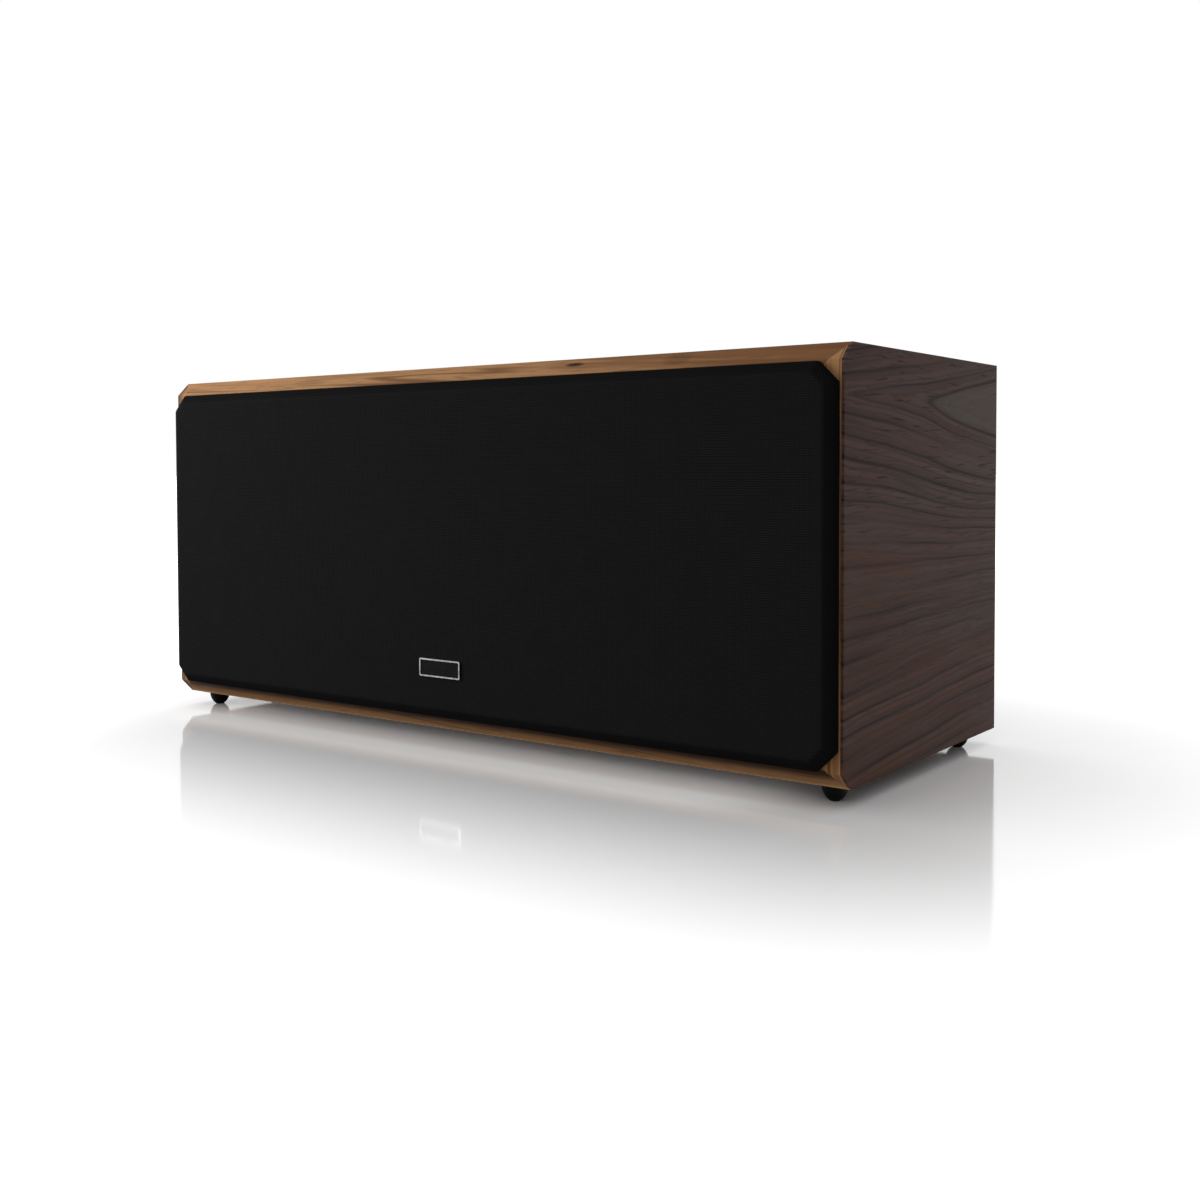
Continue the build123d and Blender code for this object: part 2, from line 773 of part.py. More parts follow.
with BuildPart() as tweeter_top_plate:
    with BuildSketch(profile):
        with BuildLine():
            Polyline(
                (dome_plate_bore, plate_front), (tweeter_plate_radius, plate_front),
                (tweeter_plate_radius, tweeter_plate_back), (dome_plate_bore, tweeter_plate_back),
                close=True,
            )
        make_face()
    revolve(axis=axis)
save(tweeter_top_plate, "tweeter_top_plate")

with BuildPart() as tweeter_magnet_ring:
    with BuildSketch(profile):
        with BuildLine():
            Polyline(
                (tweeter_magnet_bore, tweeter_plate_back), (tweeter_plate_radius, tweeter_plate_back),
                (tweeter_plate_radius, tweeter_magnet_back), (tweeter_magnet_bore, tweeter_magnet_back),
                close=True,
            )
        make_face()
    revolve(axis=axis)
save(tweeter_magnet_ring, "tweeter_magnet")

with BuildPart() as tweeter_yoke:
    with BuildSketch(profile):
        with BuildLine():
            Polyline(
                (0, plate_front), (dome_pole_radius, plate_front), (dome_pole_radius, tweeter_magnet_back),
                (tweeter_plate_radius, tweeter_magnet_back), (tweeter_plate_radius, tweeter_yoke_back),
                (0, tweeter_yoke_back), close=True,
            )
        make_face()
    revolve(axis=axis)
save(tweeter_yoke, "tweeter_yoke")

with BuildPart() as tweeter_coil:
    winding_top = dome_gap_middle + dome_coil_length / 2
    winding_end = dome_gap_middle - dome_coil_length / 2
    with BuildSketch(profile):
        with BuildLine():
            Polyline(
                (dome_coil_bore_radius, dome_edge), (dome_former_radius, dome_edge),
                (dome_former_radius, winding_top), (dome_winding_radius, winding_top),
                (dome_winding_radius, winding_end), (dome_former_radius, winding_end),
                (dome_former_radius, winding_end - dome_former_tail),
                (dome_coil_bore_radius, winding_end - dome_former_tail), close=True,
            )
        make_face()
    revolve(axis=axis)
save(tweeter_coil, "tweeter_voice_coil")

with BuildPart() as tweeter_dome:
    dome_top = dome_edge + dome_height
    dome_under = dome_former_radius - dome_thickness
    under_rise = dome_height - dome_thickness
    with BuildSketch(profile):
        with BuildLine():
            Line((0, dome_top - dome_thickness), (0, dome_top))
            ThreePointArc(
                (0, dome_top), dome_middle(dome_former_radius, dome_edge, dome_height),
                (dome_former_radius, dome_edge),
            )
            Line((dome_former_radius, dome_edge), (dome_under, dome_edge))
            ThreePointArc(
                (dome_under, dome_edge), dome_middle(dome_under, dome_edge, under_rise),
                (0, dome_top - dome_thickness),
            )
        make_face()
    revolve(axis=axis)
save(tweeter_dome, "tweeter_dome")

with BuildPart() as tweeter_surround:
    with BuildSketch(profile):
        with BuildLine():
            Line((dome_lip_inner, plate_front), (dome_roll_centre - dome_roll_inner, plate_front))
            ThreePointArc(
                (dome_roll_centre - dome_roll_inner, plate_front),
                (dome_roll_centre, plate_front + dome_roll_inner),
                (dome_roll_centre + dome_roll_inner, plate_front),
            )
            Polyline(
                (dome_roll_centre + dome_roll_inner, plate_front), (dome_lip_outer, plate_front),
                (dome_lip_outer, dome_lip_top), (dome_roll_centre + dome_lip_run, dome_lip_top),
            )
            ThreePointArc(
                (dome_roll_centre + dome_lip_run, dome_lip_top),
                (dome_roll_centre, plate_front + dome_roll_radius),
                (dome_roll_centre - dome_lip_run, dome_lip_top),
            )
            Polyline(
                (dome_roll_centre - dome_lip_run, dome_lip_top), (dome_lip_inner, dome_lip_top),
                (dome_lip_inner, plate_front),
            )
        make_face()
    revolve(axis=axis)
save(tweeter_surround, "tweeter_surround")

# One slotted countersunk screw, used for the drivers and the terminal cup
with BuildPart() as screw:
    with BuildSketch(Plane.XZ):
        with BuildLine():
            Polyline(
                (0, 0), (screw_head_radius, 0), (screw_radius, screw_radius - screw_head_radius),
                (screw_radius, screw_radius - screw_length), (0, -screw_length), close=True,
            )
        make_face()
    revolve(axis=Axis.Z)
    Box(2 * screw_head_radius, screw_slot_width, 2 * screw_slot_depth, mode=Mode.SUBTRACT)

with BuildPart() as mounting_screws:
    with Locations(front_plane.offset(-flange_recess)):
        with Locations(*woofer_centres):
            with PolarLocations(woofer_screw_circle, woofer_screws, start_angle=45):
                add(screw.part)
        with PolarLocations(tweeter_screw_circle, tweeter_screws, start_angle=45):
            add(screw.part)
    with Locations(rear_plane.offset(cup_flange)):
        with GridLocations(cup_screw_step_x, cup_screw_step_z, 2, 2):
            add(screw.part)
save(mounting_screws, "mounting_screws")

# Reflex ports: a straight tube with a flared mouth and a thin flange on the rear panel
port_mouth = port_bore_radius + port_flare
port_rim = port_mouth + port_wall
flare_mid = port_flare * (1 - cos(radians(45)))

for port_side, port_x in port_places.items():
    with BuildPart() as port:
        with BuildSketch(turning_plane(port_x, rear_y, 1)):
            with BuildLine():
                Polyline(
                    (port_mouth, port_flange), (port_rim, port_flange), (port_rim, 0), (port_outer, 0),
                    (port_outer, -port_length), (port_bore_radius, -port_length),
                    (port_bore_radius, port_flange - port_flare),
                )
                ThreePointArc(
                    (port_bore_radius, port_flange - port_flare),
                    (port_bore_radius + flare_mid, port_flange - flare_mid), (port_mouth, port_flange),
                )
            make_face()
        revolve(axis=turning_axis(port_x, rear_y, 1))
    save(port, f"{port_side}_port_tube")

# Terminal cup: a flange on the rear panel round a drafted recess
cup_floor_plane = rear_plane.offset(-cup_recess_depth)
cup_back_plane = rear_plane.offset(-cup_recess_depth - cup_floor)
post_centres = [(-x, 0) for x in post_places.values()]
recess_run = (cup_recess_depth + cup_flange) * tan(radians(cup_draft))

with BuildPart() as terminal_cup:
    with BuildSketch(rear_plane):
        RectangleRounded(cup_width, cup_height, cup_corner)
    extrude(amount=cup_flange)
    with BuildSketch(rear_plane):
        RectangleRounded(cup_body_width, cup_body_height, cup_corner)
    extrude(amount=-cup_recess_depth - cup_floor)
    with BuildSketch(cup_floor_plane):
        RectangleRounded(
            cup_recess_width - 2 * recess_run, cup_recess_height - 2 * recess_run, cup_corner - cup_wall
        )
    with BuildSketch(rear_plane.offset(cup_flange)):
        RectangleRounded(cup_recess_width, cup_recess_height, cup_corner - cup_wall + recess_run)
    loft(mode=Mode.SUBTRACT)
    with Locations(rear_plane.offset(cup_flange)):
        with GridLocations(cup_screw_step_x, cup_screw_step_z, 2, 2):
            CounterSinkHole(screw_hole_radius, screw_sink_radius, cup_flange)
        with Locations(*post_centres):
            Hole(post_radius + seat_fit, cup_recess_depth + cup_flange + cup_floor)
save(terminal_cup, "terminal_cup")

# Binding posts: a brass stud with a collar, a loose washer and a fluted thumb cap, one red and one black
floor_y = rear_y - cup_recess_depth
washer_base = post_collar + post_stack_gap
cap_base = washer_base + washer_thickness + post_stack_gap
stud_end = cap_base + post_cap_length - post_cap_roof - post_stack_gap

for colour, post_x in post_places.items():
    post_plane = turning_plane(post_x, floor_y, 1)
    post_axis = turning_axis(post_x, floor_y, 1)
    post_face = Plane(origin=(post_x, floor_y, middle_z), x_dir=(-1, 0, 0), z_dir=(0, 1, 0))

    with BuildPart() as post:
        with BuildSketch(post_plane):
            with BuildLine():
                Polyline(
                    (0, -cup_floor - post_tail), (post_radius, -cup_floor - post_tail), (post_radius, 0),
                    (post_collar_radius, 0), (post_collar_radius, post_collar), (post_radius, post_collar),
                    (post_radius, stud_end), (banana_radius, stud_end),
                    (banana_radius, stud_end - banana_depth), (0, stud_end - banana_depth), close=True,
                )
            make_face()
        revolve(axis=post_axis)
        with Locations(post_face.offset(post_collar + post_wire_hole_rise)):
            Cylinder(
                post_wire_hole_radius, 2 * post_collar_radius, rotation=(90, 0, 0), mode=Mode.SUBTRACT
            )
    save(post, f"{colour}_post")

    with BuildPart() as washer:
        with BuildSketch(post_face.offset(washer_base)):
            Circle(post_collar_radius)
            Circle(post_radius + post_fit, mode=Mode.SUBTRACT)
        extrude(amount=washer_thickness)
    save(washer, f"{colour}_post_washer")

    with BuildPart() as post_cap:
        with BuildSketch(post_face.offset(cap_base)):
            Circle(post_cap_radius)
            with PolarLocations(post_cap_radius, post_cap_flutes):
                Circle(post_cap_flute_radius, mode=Mode.SUBTRACT)
        extrude(amount=post_cap_length)
        with BuildSketch(post_face.offset(cap_base)):
            Circle(post_radius + post_fit)
        extrude(amount=post_cap_length - post_cap_roof, mode=Mode.SUBTRACT)
        with BuildSketch(post_face.offset(cap_base)):
            Circle(post_cap_hole_radius)
        extrude(amount=post_cap_length, mode=Mode.SUBTRACT)
    save(post_cap, f"{colour}_post_cap")

with BuildPart() as post_nuts:
    with BuildSketch(cup_back_plane):
        with Locations(*post_centres):
            RegularPolygon(nut_radius, 6)
            Circle(post_radius + seat_fit, mode=Mode.SUBTRACT)
    extrude(amount=-nut_thickness)
save(post_nuts, "post_nuts")

# Crossover: a circuit board on four standoffs, with coils at the back and a row of parts at the front
floor_z = bottom_z + panel_wall
board_width = inductor_step + 2 * inductor_radius + 2 * board_margin
board_length = 2 * (inductor_radius + part_gap + capacitor_length + board_margin)
board_plane = Plane.XY.offset(floor_z + standoff_height)
board_top_plane = board_plane.offset(board_thickness)
board_centre = (0, front_y + board_front + board_length / 2)
standoff_step_x = board_width - 2 * standoff_inset
standoff_step_y = board_length - 2 * standoff_inset

with BuildPart() as crossover_board:
    with BuildSketch(board_plane):
        with Locations(board_centre):
            Rectangle(board_width, board_length)
            with GridLocations(standoff_step_x, standoff_step_y, 2, 2):
                Circle(screw_radius, mode=Mode.SUBTRACT)
    extrude(amount=board_thickness)
save(crossover_board, "crossover_board")

with BuildPart() as board_standoffs:
    with BuildSketch(Plane.XY.offset(floor_z)):
        with Locations(board_centre):
            with GridLocations(standoff_step_x, standoff_step_y, 2, 2):
                Circle(standoff_radius)
    extrude(amount=standoff_height)
save(board_standoffs, "board_standoffs")

with BuildPart() as inductor:
    with BuildSketch(Plane.XZ):
        with BuildLine():
            Polyline(
                (inductor_core_radius, 0), (inductor_radius, 0), (inductor_radius, inductor_cheek),
                (inductor_radius - inductor_cheek, inductor_cheek),
                (inductor_radius - inductor_cheek, inductor_height - inductor_cheek),
                (inductor_radius, inductor_height - inductor_cheek), (inductor_radius, inductor_height),
                (inductor_core_radius, inductor_height), close=True,
            )
        make_face()
    revolve(axis=Axis.Z)

with BuildPart() as crossover_inductors:
    with Locations(board_top_plane):
        with Locations((board_centre[0], board_centre[1])):
            with GridLocations(inductor_step, 0, 2, 1):
                add(inductor.part)
save(crossover_inductors, "crossover_inductors")

capacitor_row_y = board_centre[1] + inductor_radius + part_gap + capacitor_length / 2
with BuildPart() as crossover_capacitors:
    with Locations(board_top_plane):
        with Locations((0, capacitor_row_y, capacitor_radius)):
            with GridLocations(capacitor_step, 0, capacitor_count, 1):
                Cylinder(capacitor_radius, capacitor_length, rotation=(90, 0, 0))
save(crossover_capacitors, "crossover_capacitors")

resistor_row_y = board_centre[1] - inductor_radius - part_gap - resistor_side / 2
with BuildPart() as crossover_resistors:
    with Locations(board_top_plane):
        with Locations((0, resistor_row_y, resistor_side / 2)):
            with GridLocations(resistor_step, 0, 2, 1):
                Box(resistor_length, resistor_side, resistor_side)
save(crossover_resistors, "crossover_resistors")
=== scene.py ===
# %% [markdown]
# # A center channel speaker
# This lesson dresses a finished CAD model of a center channel speaker: a walnut cabinet with bevelled
# front edges, a black cloth grille with a small badge, and the drivers, ports and terminals behind it.
# The CAD model is loaded first and never changes. Hard pieces keep their CAD shape and get a finish made
# of shader nodes. Cloth, rubber rolls and spiders are soft, so they are built again as meshes here.

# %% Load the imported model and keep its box
import math

import bmesh
import bpy
from mathutils import Matrix, Vector
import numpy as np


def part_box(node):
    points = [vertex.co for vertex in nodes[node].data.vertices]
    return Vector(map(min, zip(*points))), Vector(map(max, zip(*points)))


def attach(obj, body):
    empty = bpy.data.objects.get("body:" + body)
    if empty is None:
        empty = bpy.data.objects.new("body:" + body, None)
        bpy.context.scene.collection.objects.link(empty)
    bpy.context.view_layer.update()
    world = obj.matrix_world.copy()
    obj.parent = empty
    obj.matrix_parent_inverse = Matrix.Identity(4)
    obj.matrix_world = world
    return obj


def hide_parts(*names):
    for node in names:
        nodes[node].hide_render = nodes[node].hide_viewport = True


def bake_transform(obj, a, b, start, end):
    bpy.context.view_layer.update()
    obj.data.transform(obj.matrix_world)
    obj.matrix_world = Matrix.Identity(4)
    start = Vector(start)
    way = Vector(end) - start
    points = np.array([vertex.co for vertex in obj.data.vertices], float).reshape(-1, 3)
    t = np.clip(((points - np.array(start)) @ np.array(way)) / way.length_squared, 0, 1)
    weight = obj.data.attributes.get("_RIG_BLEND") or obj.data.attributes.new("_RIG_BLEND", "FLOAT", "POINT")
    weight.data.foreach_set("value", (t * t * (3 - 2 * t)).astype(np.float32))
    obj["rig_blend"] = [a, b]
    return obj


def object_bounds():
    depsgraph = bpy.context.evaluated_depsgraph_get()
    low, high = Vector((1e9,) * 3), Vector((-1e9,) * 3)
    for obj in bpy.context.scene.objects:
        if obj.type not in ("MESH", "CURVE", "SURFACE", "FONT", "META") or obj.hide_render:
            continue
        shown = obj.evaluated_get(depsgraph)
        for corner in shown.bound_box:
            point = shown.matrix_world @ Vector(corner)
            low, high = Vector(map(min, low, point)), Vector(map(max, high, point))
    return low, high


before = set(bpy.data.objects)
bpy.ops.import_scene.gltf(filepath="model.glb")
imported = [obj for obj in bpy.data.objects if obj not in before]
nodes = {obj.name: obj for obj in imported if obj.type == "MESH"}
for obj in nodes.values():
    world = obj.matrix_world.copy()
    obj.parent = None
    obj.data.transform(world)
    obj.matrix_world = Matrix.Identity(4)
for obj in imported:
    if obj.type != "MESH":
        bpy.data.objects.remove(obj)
cad_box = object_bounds()
scene = bpy.context.scene
scene.view_settings.view_transform = "Standard"
MM = 0.001

# %% [markdown]
# ## The camera
# The photograph was taken from the right front, a little below the height of the cabinet's top. Its
# camera was solved from the corners of the cabinet. It could be aimed by hand, but a solved place and
# turn put every edge where the photograph has it. Blender wants the lens in millimetres on a 36 mm
# sensor, and the shift as a share of the picture's width.

# %% Place the solved camera
PICTURE = 1200.0
SENSOR = 36.0
FOCAL_PIXELS = 1346.99
OPTICAL_CENTRE = (585.86, 516.56)
CAMERA_PLACE = Vector((0.497669, -0.633128, 0.152407))
turn, dip, tilt = (math.radians(angle) for angle in (36.725, 1.993, -0.167))

ahead = Vector((-math.sin(turn) * math.cos(dip), math.cos(turn) * math.cos(dip), -math.sin(dip)))
level = Vector((math.cos(turn), math.sin(turn), 0.0))
upright = level.cross(ahead)
right = level * math.cos(tilt) + upright * math.sin(tilt)
up = upright * math.cos(tilt) - level * math.sin(tilt)

camera_data = bpy.data.cameras.new("photo_camera")
camera_data.sensor_width = SENSOR
camera_data.lens = FOCAL_PIXELS * SENSOR / PICTURE
camera_data.shift_x = (PICTURE / 2 - OPTICAL_CENTRE[0]) / PICTURE
camera_data.shift_y = (OPTICAL_CENTRE[1] - PICTURE / 2) / PICTURE
camera_data.clip_start = 0.01
camera = bpy.data.objects.new("photo_camera", camera_data)
camera.matrix_world = Matrix.Translation(CAMERA_PLACE) @ Matrix((right, up, -ahead)).transposed().to_4x4()
scene.collection.objects.link(camera)
scene.camera = camera
shift = [round(value, 4) for value in (camera_data.shift_x, camera_data.shift_y)]
print("lens", round(camera_data.lens, 2), "mm, shift", shift)

# %% [markdown]
# ## Small tools for shader trees
# A finish is a tree of small nodes. Placing each node by hand in the editor is fine for one material,
# but over thirty finishes repeat the same few steps. These helpers add a node, feed a socket with a value or
# a link, and do the usual sums, so that each finish below reads as a short list of what it is made of.

# %% Helpers that add and join shader nodes
def add_node(tree, kind, **options):
    """One new node in the tree, with its options set, such as operation="SINE"."""
    made = tree.nodes.new(kind)
    for option, value in options.items():
        setattr(made, option, value)
    return made


def feed(tree, socket, source):
    """Gives a socket a link where source is another socket, and a plain value otherwise."""
    if isinstance(source, bpy.types.NodeSocket):
        tree.links.new(source, socket)
    else:
        socket.default_value = source


def place_at(tree, x, y, z):
    """A vector put together from three numbers or sockets."""
    made = add_node(tree, "ShaderNodeCombineXYZ")
    for socket, source in zip(made.inputs, (x, y, z)):
        feed(tree, socket, source)
    return made.outputs[0]


def split(tree, vector):
    """The three numbers of a vector."""
    made = add_node(tree, "ShaderNodeSeparateXYZ")
    feed(tree, made.inputs[0], vector)
    return made.outputs["X"], made.outputs["Y"], made.outputs["Z"]


def rest_place(tree, output="Object"):
    """Where a point of the piece is, in metres and in the speaker's own frame."""
    return add_node(tree, "ShaderNodeTexCoord").outputs[output]


print("helpers for nodes and places ready")

# %% Helpers for sums, ramps, colours and noise
def sums(tree, operation, first, second=0.0):
    """One Math node."""
    made = add_node(tree, "ShaderNodeMath", operation=operation)
    feed(tree, made.inputs[0], first)
    feed(tree, made.inputs[1], second)
    return made.outputs[0]


def plus(tree, first, second):
    return sums(tree, "ADD", first, second)


def minus(tree, first, second):
    return sums(tree, "SUBTRACT", first, second)


def times(tree, first, second):
    return sums(tree, "MULTIPLY", first, second)


def larger(tree, first, second):
    return sums(tree, "MAXIMUM", first, second)


def size_of(tree, value):
    return sums(tree, "ABSOLUTE", value)


def ease(tree, value, low, high, start=0.0, end=1.0):
    """A smooth ramp from start to end while value goes from low to high."""
    made = add_node(tree, "ShaderNodeMapRange", interpolation_type="SMOOTHSTEP")
    labels = ("Value", "From Min", "From Max", "To Min", "To Max")
    for label, source in zip(labels, (value, low, high, start, end)):
        feed(tree, made.inputs[label], source)
    return made.outputs["Result"]


def tint(tree, share, first, second, blend="MIX"):
    """A colour between first and second, or their product with blend="MULTIPLY"."""
    made = add_node(tree, "ShaderNodeMix", data_type="RGBA", blend_type=blend)
    for index, source in ((0, share), (6, first), (7, second)):
        feed(tree, made.inputs[index], source)
    return made.outputs[2]


def clouds(tree, place, scale, detail=2.0, roughness=0.5):
    """The grey value of a noise texture."""
    made = add_node(tree, "ShaderNodeTexNoise")
    for label, source in (("Vector", place), ("Scale", scale), ("Detail", detail), ("Roughness", roughness)):
        feed(tree, made.inputs[label], source)
    return made.outputs["Fac"]


print("helpers for sums, ramps, colours and noise ready")

# %% [markdown]
# ## The studio
# The photograph has a white ground that fades into white, a dark contact under the cabinet and a
# reflection that dies away within a hand's breadth. The white comes from what the camera sees: Light
# Path's rays tell the floor and the world when they are being looked at or mirrored, and only then are
# they bright. The light that falls on the speaker is a soft sky, stronger from the upper left front, and
# one soft box near the left end, so the right side stays in shade as it does in the photograph.

# %% Light the scene with a soft sky
SKY_COMES_FROM = Vector((-0.55, -0.5, 0.67)).normalized()
SKY_SHADE, SKY_LIGHT, SKY_TURN = 0.1, 0.63, 0.9


def seen_directly(tree):
    """1 for rays from the camera, mirrors and glass, and 0 for light that falls on things."""
    rays = add_node(tree, "ShaderNodeLightPath").outputs
    mirrored = larger(tree, rays["Is Glossy Ray"], rays["Is Transmission Ray"])
    return larger(tree, rays["Is Camera Ray"], mirrored)


def mix_shaders(tree, share, first, second, output):
    """Shows first where share is 0 and second where it is 1."""
    both = add_node(tree, "ShaderNodeMixShader")
    feed(tree, both.inputs[0], share)
    feed(tree, both.inputs[1], first.outputs[0])
    feed(tree, both.inputs[2], second.outputs[0])
    feed(tree, add_node(tree, output).inputs[0], both.outputs[0])


world = bpy.data.worlds.new("white_studio")
world.use_nodes = True
scene.world = world
tree = world.node_tree
tree.nodes.clear()
heading = add_node(tree, "ShaderNodeVectorMath", operation="DOT_PRODUCT")
feed(tree, heading.inputs[0], rest_place(tree, "Generated"))
heading.inputs[1].default_value = SKY_COMES_FROM
falling = add_node(tree, "ShaderNodeBackground")
sky = ease(tree, heading.outputs["Value"], -SKY_TURN, SKY_TURN, SKY_SHADE, SKY_LIGHT)
feed(tree, falling.inputs["Strength"], sky)
shown = add_node(tree, "ShaderNodeBackground")
for background in (falling, shown):
    background.inputs["Color"].default_value = (1, 1, 1, 1)
mix_shaders(tree, seen_directly(tree), falling, shown, "ShaderNodeOutputWorld")
print("soft sky from", SKY_SHADE, "to", SKY_LIGHT)

# %% Hang one soft box near the left end
BOX_PLACE, BOX_AIM = Vector((-0.6, -0.55, 0.46)), Vector((-0.15, -0.09, 0.12))
BOX_SIZE, BOX_WATTS = 0.45, 5.4
soft_box_data = bpy.data.lights.new("soft_box", "AREA")
soft_box_data.shape = "SQUARE"
soft_box_data.size = BOX_SIZE
soft_box_data.energy = BOX_WATTS
soft_box = bpy.data.objects.new("soft_box", soft_box_data)
soft_box.location = BOX_PLACE
soft_box.rotation_euler = (BOX_AIM - BOX_PLACE).to_track_quat("-Z", "Y").to_euler()
scene.collection.objects.link(soft_box)
print("soft box of", BOX_WATTS, "W in place")

# %% [markdown]
# The floor is a wide plane. Matt white gives it the soft contact shadow, and a polished share mirrors the
# cabinet. That share is full at the cabinet's foot and fades out over 25 centimetres, measured by how far
# a point lies outside the cabinet's footprint. In the photograph the shade under the front edge is lighter
# than this light gives, so the white is lifted there, and a little on the open floor at the left. No paint
# has a white over 1: the high values act only where the floor is looked at, and the light that it throws
# back is that of a plain white. Light linking keeps the soft box off the floor, or it would burn it out.

# %% Build the floor and keep the soft box off it
FLOOR_REACH = 30.0
floor_mesh = bpy.data.meshes.new("studio_floor")
floor_shape = bmesh.new()
bmesh.ops.create_grid(floor_shape, x_segments=8, y_segments=8, size=FLOOR_REACH)
floor_shape.to_mesh(floor_mesh)
floor_shape.free()
floor = bpy.data.objects.new("studio_floor", floor_mesh)
scene.collection.objects.link(floor)

not_lit = bpy.data.collections.new("soft_box_leaves_out")
not_lit.objects.link(floor)
soft_box.light_linking.receiver_collection = not_lit
not_lit.collection_objects[0].light_linking.link_state = "EXCLUDE"
print("floor of", 2 * FLOOR_REACH, "m in place")

# %% Make the floor's finish
MIRROR_SHARE, MIRROR_REACH, MIRROR_BLUR = 0.56, 0.25, 0.08
FLOOR_WHITE, LEFT_WHITE = 2.4, 3.4
DEEP_WHITE, EDGE_WHITE = 9.4, 3.6
BOUNCING_WHITE = (0.75, 0.75, 0.75, 1)

floor_finish = bpy.data.materials.new("white_floor")
floor_finish.use_nodes = True
tree = floor_finish.node_tree
tree.nodes.clear()
ground = split(tree, rest_place(tree))[:2]
past_edges, squares = [], []
for axis, place in enumerate(ground):
    low, high = cad_box[0][axis], cad_box[1][axis]
    off_middle = size_of(tree, minus(tree, place, (low + high) / 2))
    past_edges.append(minus(tree, off_middle, (high - low) / 2))
    outside = larger(tree, past_edges[-1], 0.0)
    squares.append(times(tree, outside, outside))
away = sums(tree, "SQRT", plus(tree, *squares))
past_edge = larger(tree, *past_edges)

under = ease(tree, past_edge, 0.0, 0.045, 1.0, 0.0)
off_right_end = ease(tree, ground[0], 0.15, 0.25, 1.0, 0.0)
off_left_end = ease(tree, ground[0], -0.24, -0.17, 0.0, 1.0)
off_back = ease(tree, ground[1], -0.05, 0.0, 1.0, 0.0)
near_front = times(tree, under, times(tree, times(tree, off_right_end, off_left_end), off_back))
lifted = ease(tree, past_edge, -0.042, -0.006, DEEP_WHITE, EDGE_WHITE)
open_floor = ease(tree, ground[0], -0.32, -0.15, LEFT_WHITE, FLOOR_WHITE)
white = ease(tree, near_front, 0.0, 1.0, open_floor, lifted)

matt = add_node(tree, "ShaderNodeBsdfDiffuse")
feed(tree, matt.inputs["Color"], tint(tree, seen_directly(tree), BOUNCING_WHITE, white))
polish = add_node(tree, "ShaderNodeBsdfGlossy")
polish.inputs["Roughness"].default_value = MIRROR_BLUR
mirror = ease(tree, away, 0.0, MIRROR_REACH, MIRROR_SHARE, 0.0)
mix_shaders(tree, mirror, matt, polish, "ShaderNodeOutputMaterial")
floor_mesh.materials.append(floor_finish)
print("floor's mirror fades over", MIRROR_REACH, "m")

# %% [markdown]
# ## Effects that many finishes share
# Paint, plastic, rubber and metal all have a fine speckle, and cloth and cones both have a weave. Each
# effect is one node group with named sockets, built once and placed in every finish with its own values.
# Repeating the nodes in each material would work too, but a group is changed in one place.

# %% Helpers that make and place groups
def floats(*labels):
    return [(label, "NodeSocketFloat") for label in labels]


def colours(*labels):
    return [(label, "NodeSocketColor") for label in labels]


def new_group(name, inputs, outputs):
    """An empty shader group with its named sockets, and its input and output nodes."""
    group = bpy.data.node_groups.new(name, "ShaderNodeTree")
    for label, kind in inputs:
        group.interface.new_socket(label, in_out="INPUT", socket_type=kind)
    for label, kind in outputs:
        group.interface.new_socket(label, in_out="OUTPUT", socket_type=kind)
    return group, add_node(group, "NodeGroupInput").outputs, add_node(group, "NodeGroupOutput").inputs


def place_group(tree, group, **values):
    """Puts a group into a tree. heart_along=0.1 feeds its socket called Heart Along."""
    made = add_node(tree, "ShaderNodeGroup", node_tree=group)
    for label, source in values.items():
        feed(tree, made.inputs[label.replace("_", " ").title()], source)
    return made.outputs


def put_out(tree, result, given, height):
    """Ends a group whose colour goes from its Dark to its Light with a height from 0 to 1."""
    feed(tree, result["Color"], tint(tree, height, given["Dark"], given["Light"]))
    feed(tree, result["Height"], height)


colour_and_height = colours("Color") + floats("Height")
print("helpers for groups ready")

# %% Build the speckle group
speckle_group, given, result = new_group(
    "Speckle", [("Place", "NodeSocketVector")] + floats("Scale") + colours("Dark", "Light"), colour_and_height
)
tree = speckle_group
grains = clouds(tree, given["Place"], given["Scale"], detail=5.0, roughness=0.62)
feed(tree, result["Color"], tint(tree, ease(tree, grains, 0.3, 0.7), given["Dark"], given["Light"]))
feed(tree, result["Height"], grains)
print("speckle group has", len(tree.nodes), "nodes")

# %% Build the weave and winding groups
weave_group, given, result = new_group(
    "Weave", floats("Across", "Up", "Threads") + colours("Dark", "Light"), colour_and_height
)
tree = weave_group
THREAD_ENDS = 0.55
threads = [times(tree, given[label], given["Threads"]) for label in ("Across", "Up")]
ridges = [size_of(tree, sums(tree, "SINE", times(tree, thread, math.pi))) for thread in threads]
over = sums(tree, "PINGPONG", plus(tree, *[sums(tree, "FLOOR", thread) for thread in threads]), 1.0)
lengthwise = times(tree, ridges[0], ease(tree, ridges[1], 0.0, 1.0, THREAD_ENDS, 1.0))
crosswise = times(tree, ridges[1], ease(tree, ridges[0], 0.0, 1.0, THREAD_ENDS, 1.0))
crossed = times(tree, crosswise, minus(tree, 1.0, over))
put_out(tree, result, given, plus(tree, times(tree, lengthwise, over), crossed))
print("weave group has", len(tree.nodes), "nodes")

winding_group, given, result = new_group(
    "Winding", floats("Along", "Turns") + colours("Dark", "Light"), colour_and_height
)
tree = winding_group
wire = times(tree, times(tree, given["Along"], given["Turns"]), math.pi)
put_out(tree, result, given, size_of(tree, sums(tree, "SINE", wire)))
print("winding group has", len(tree.nodes), "nodes")

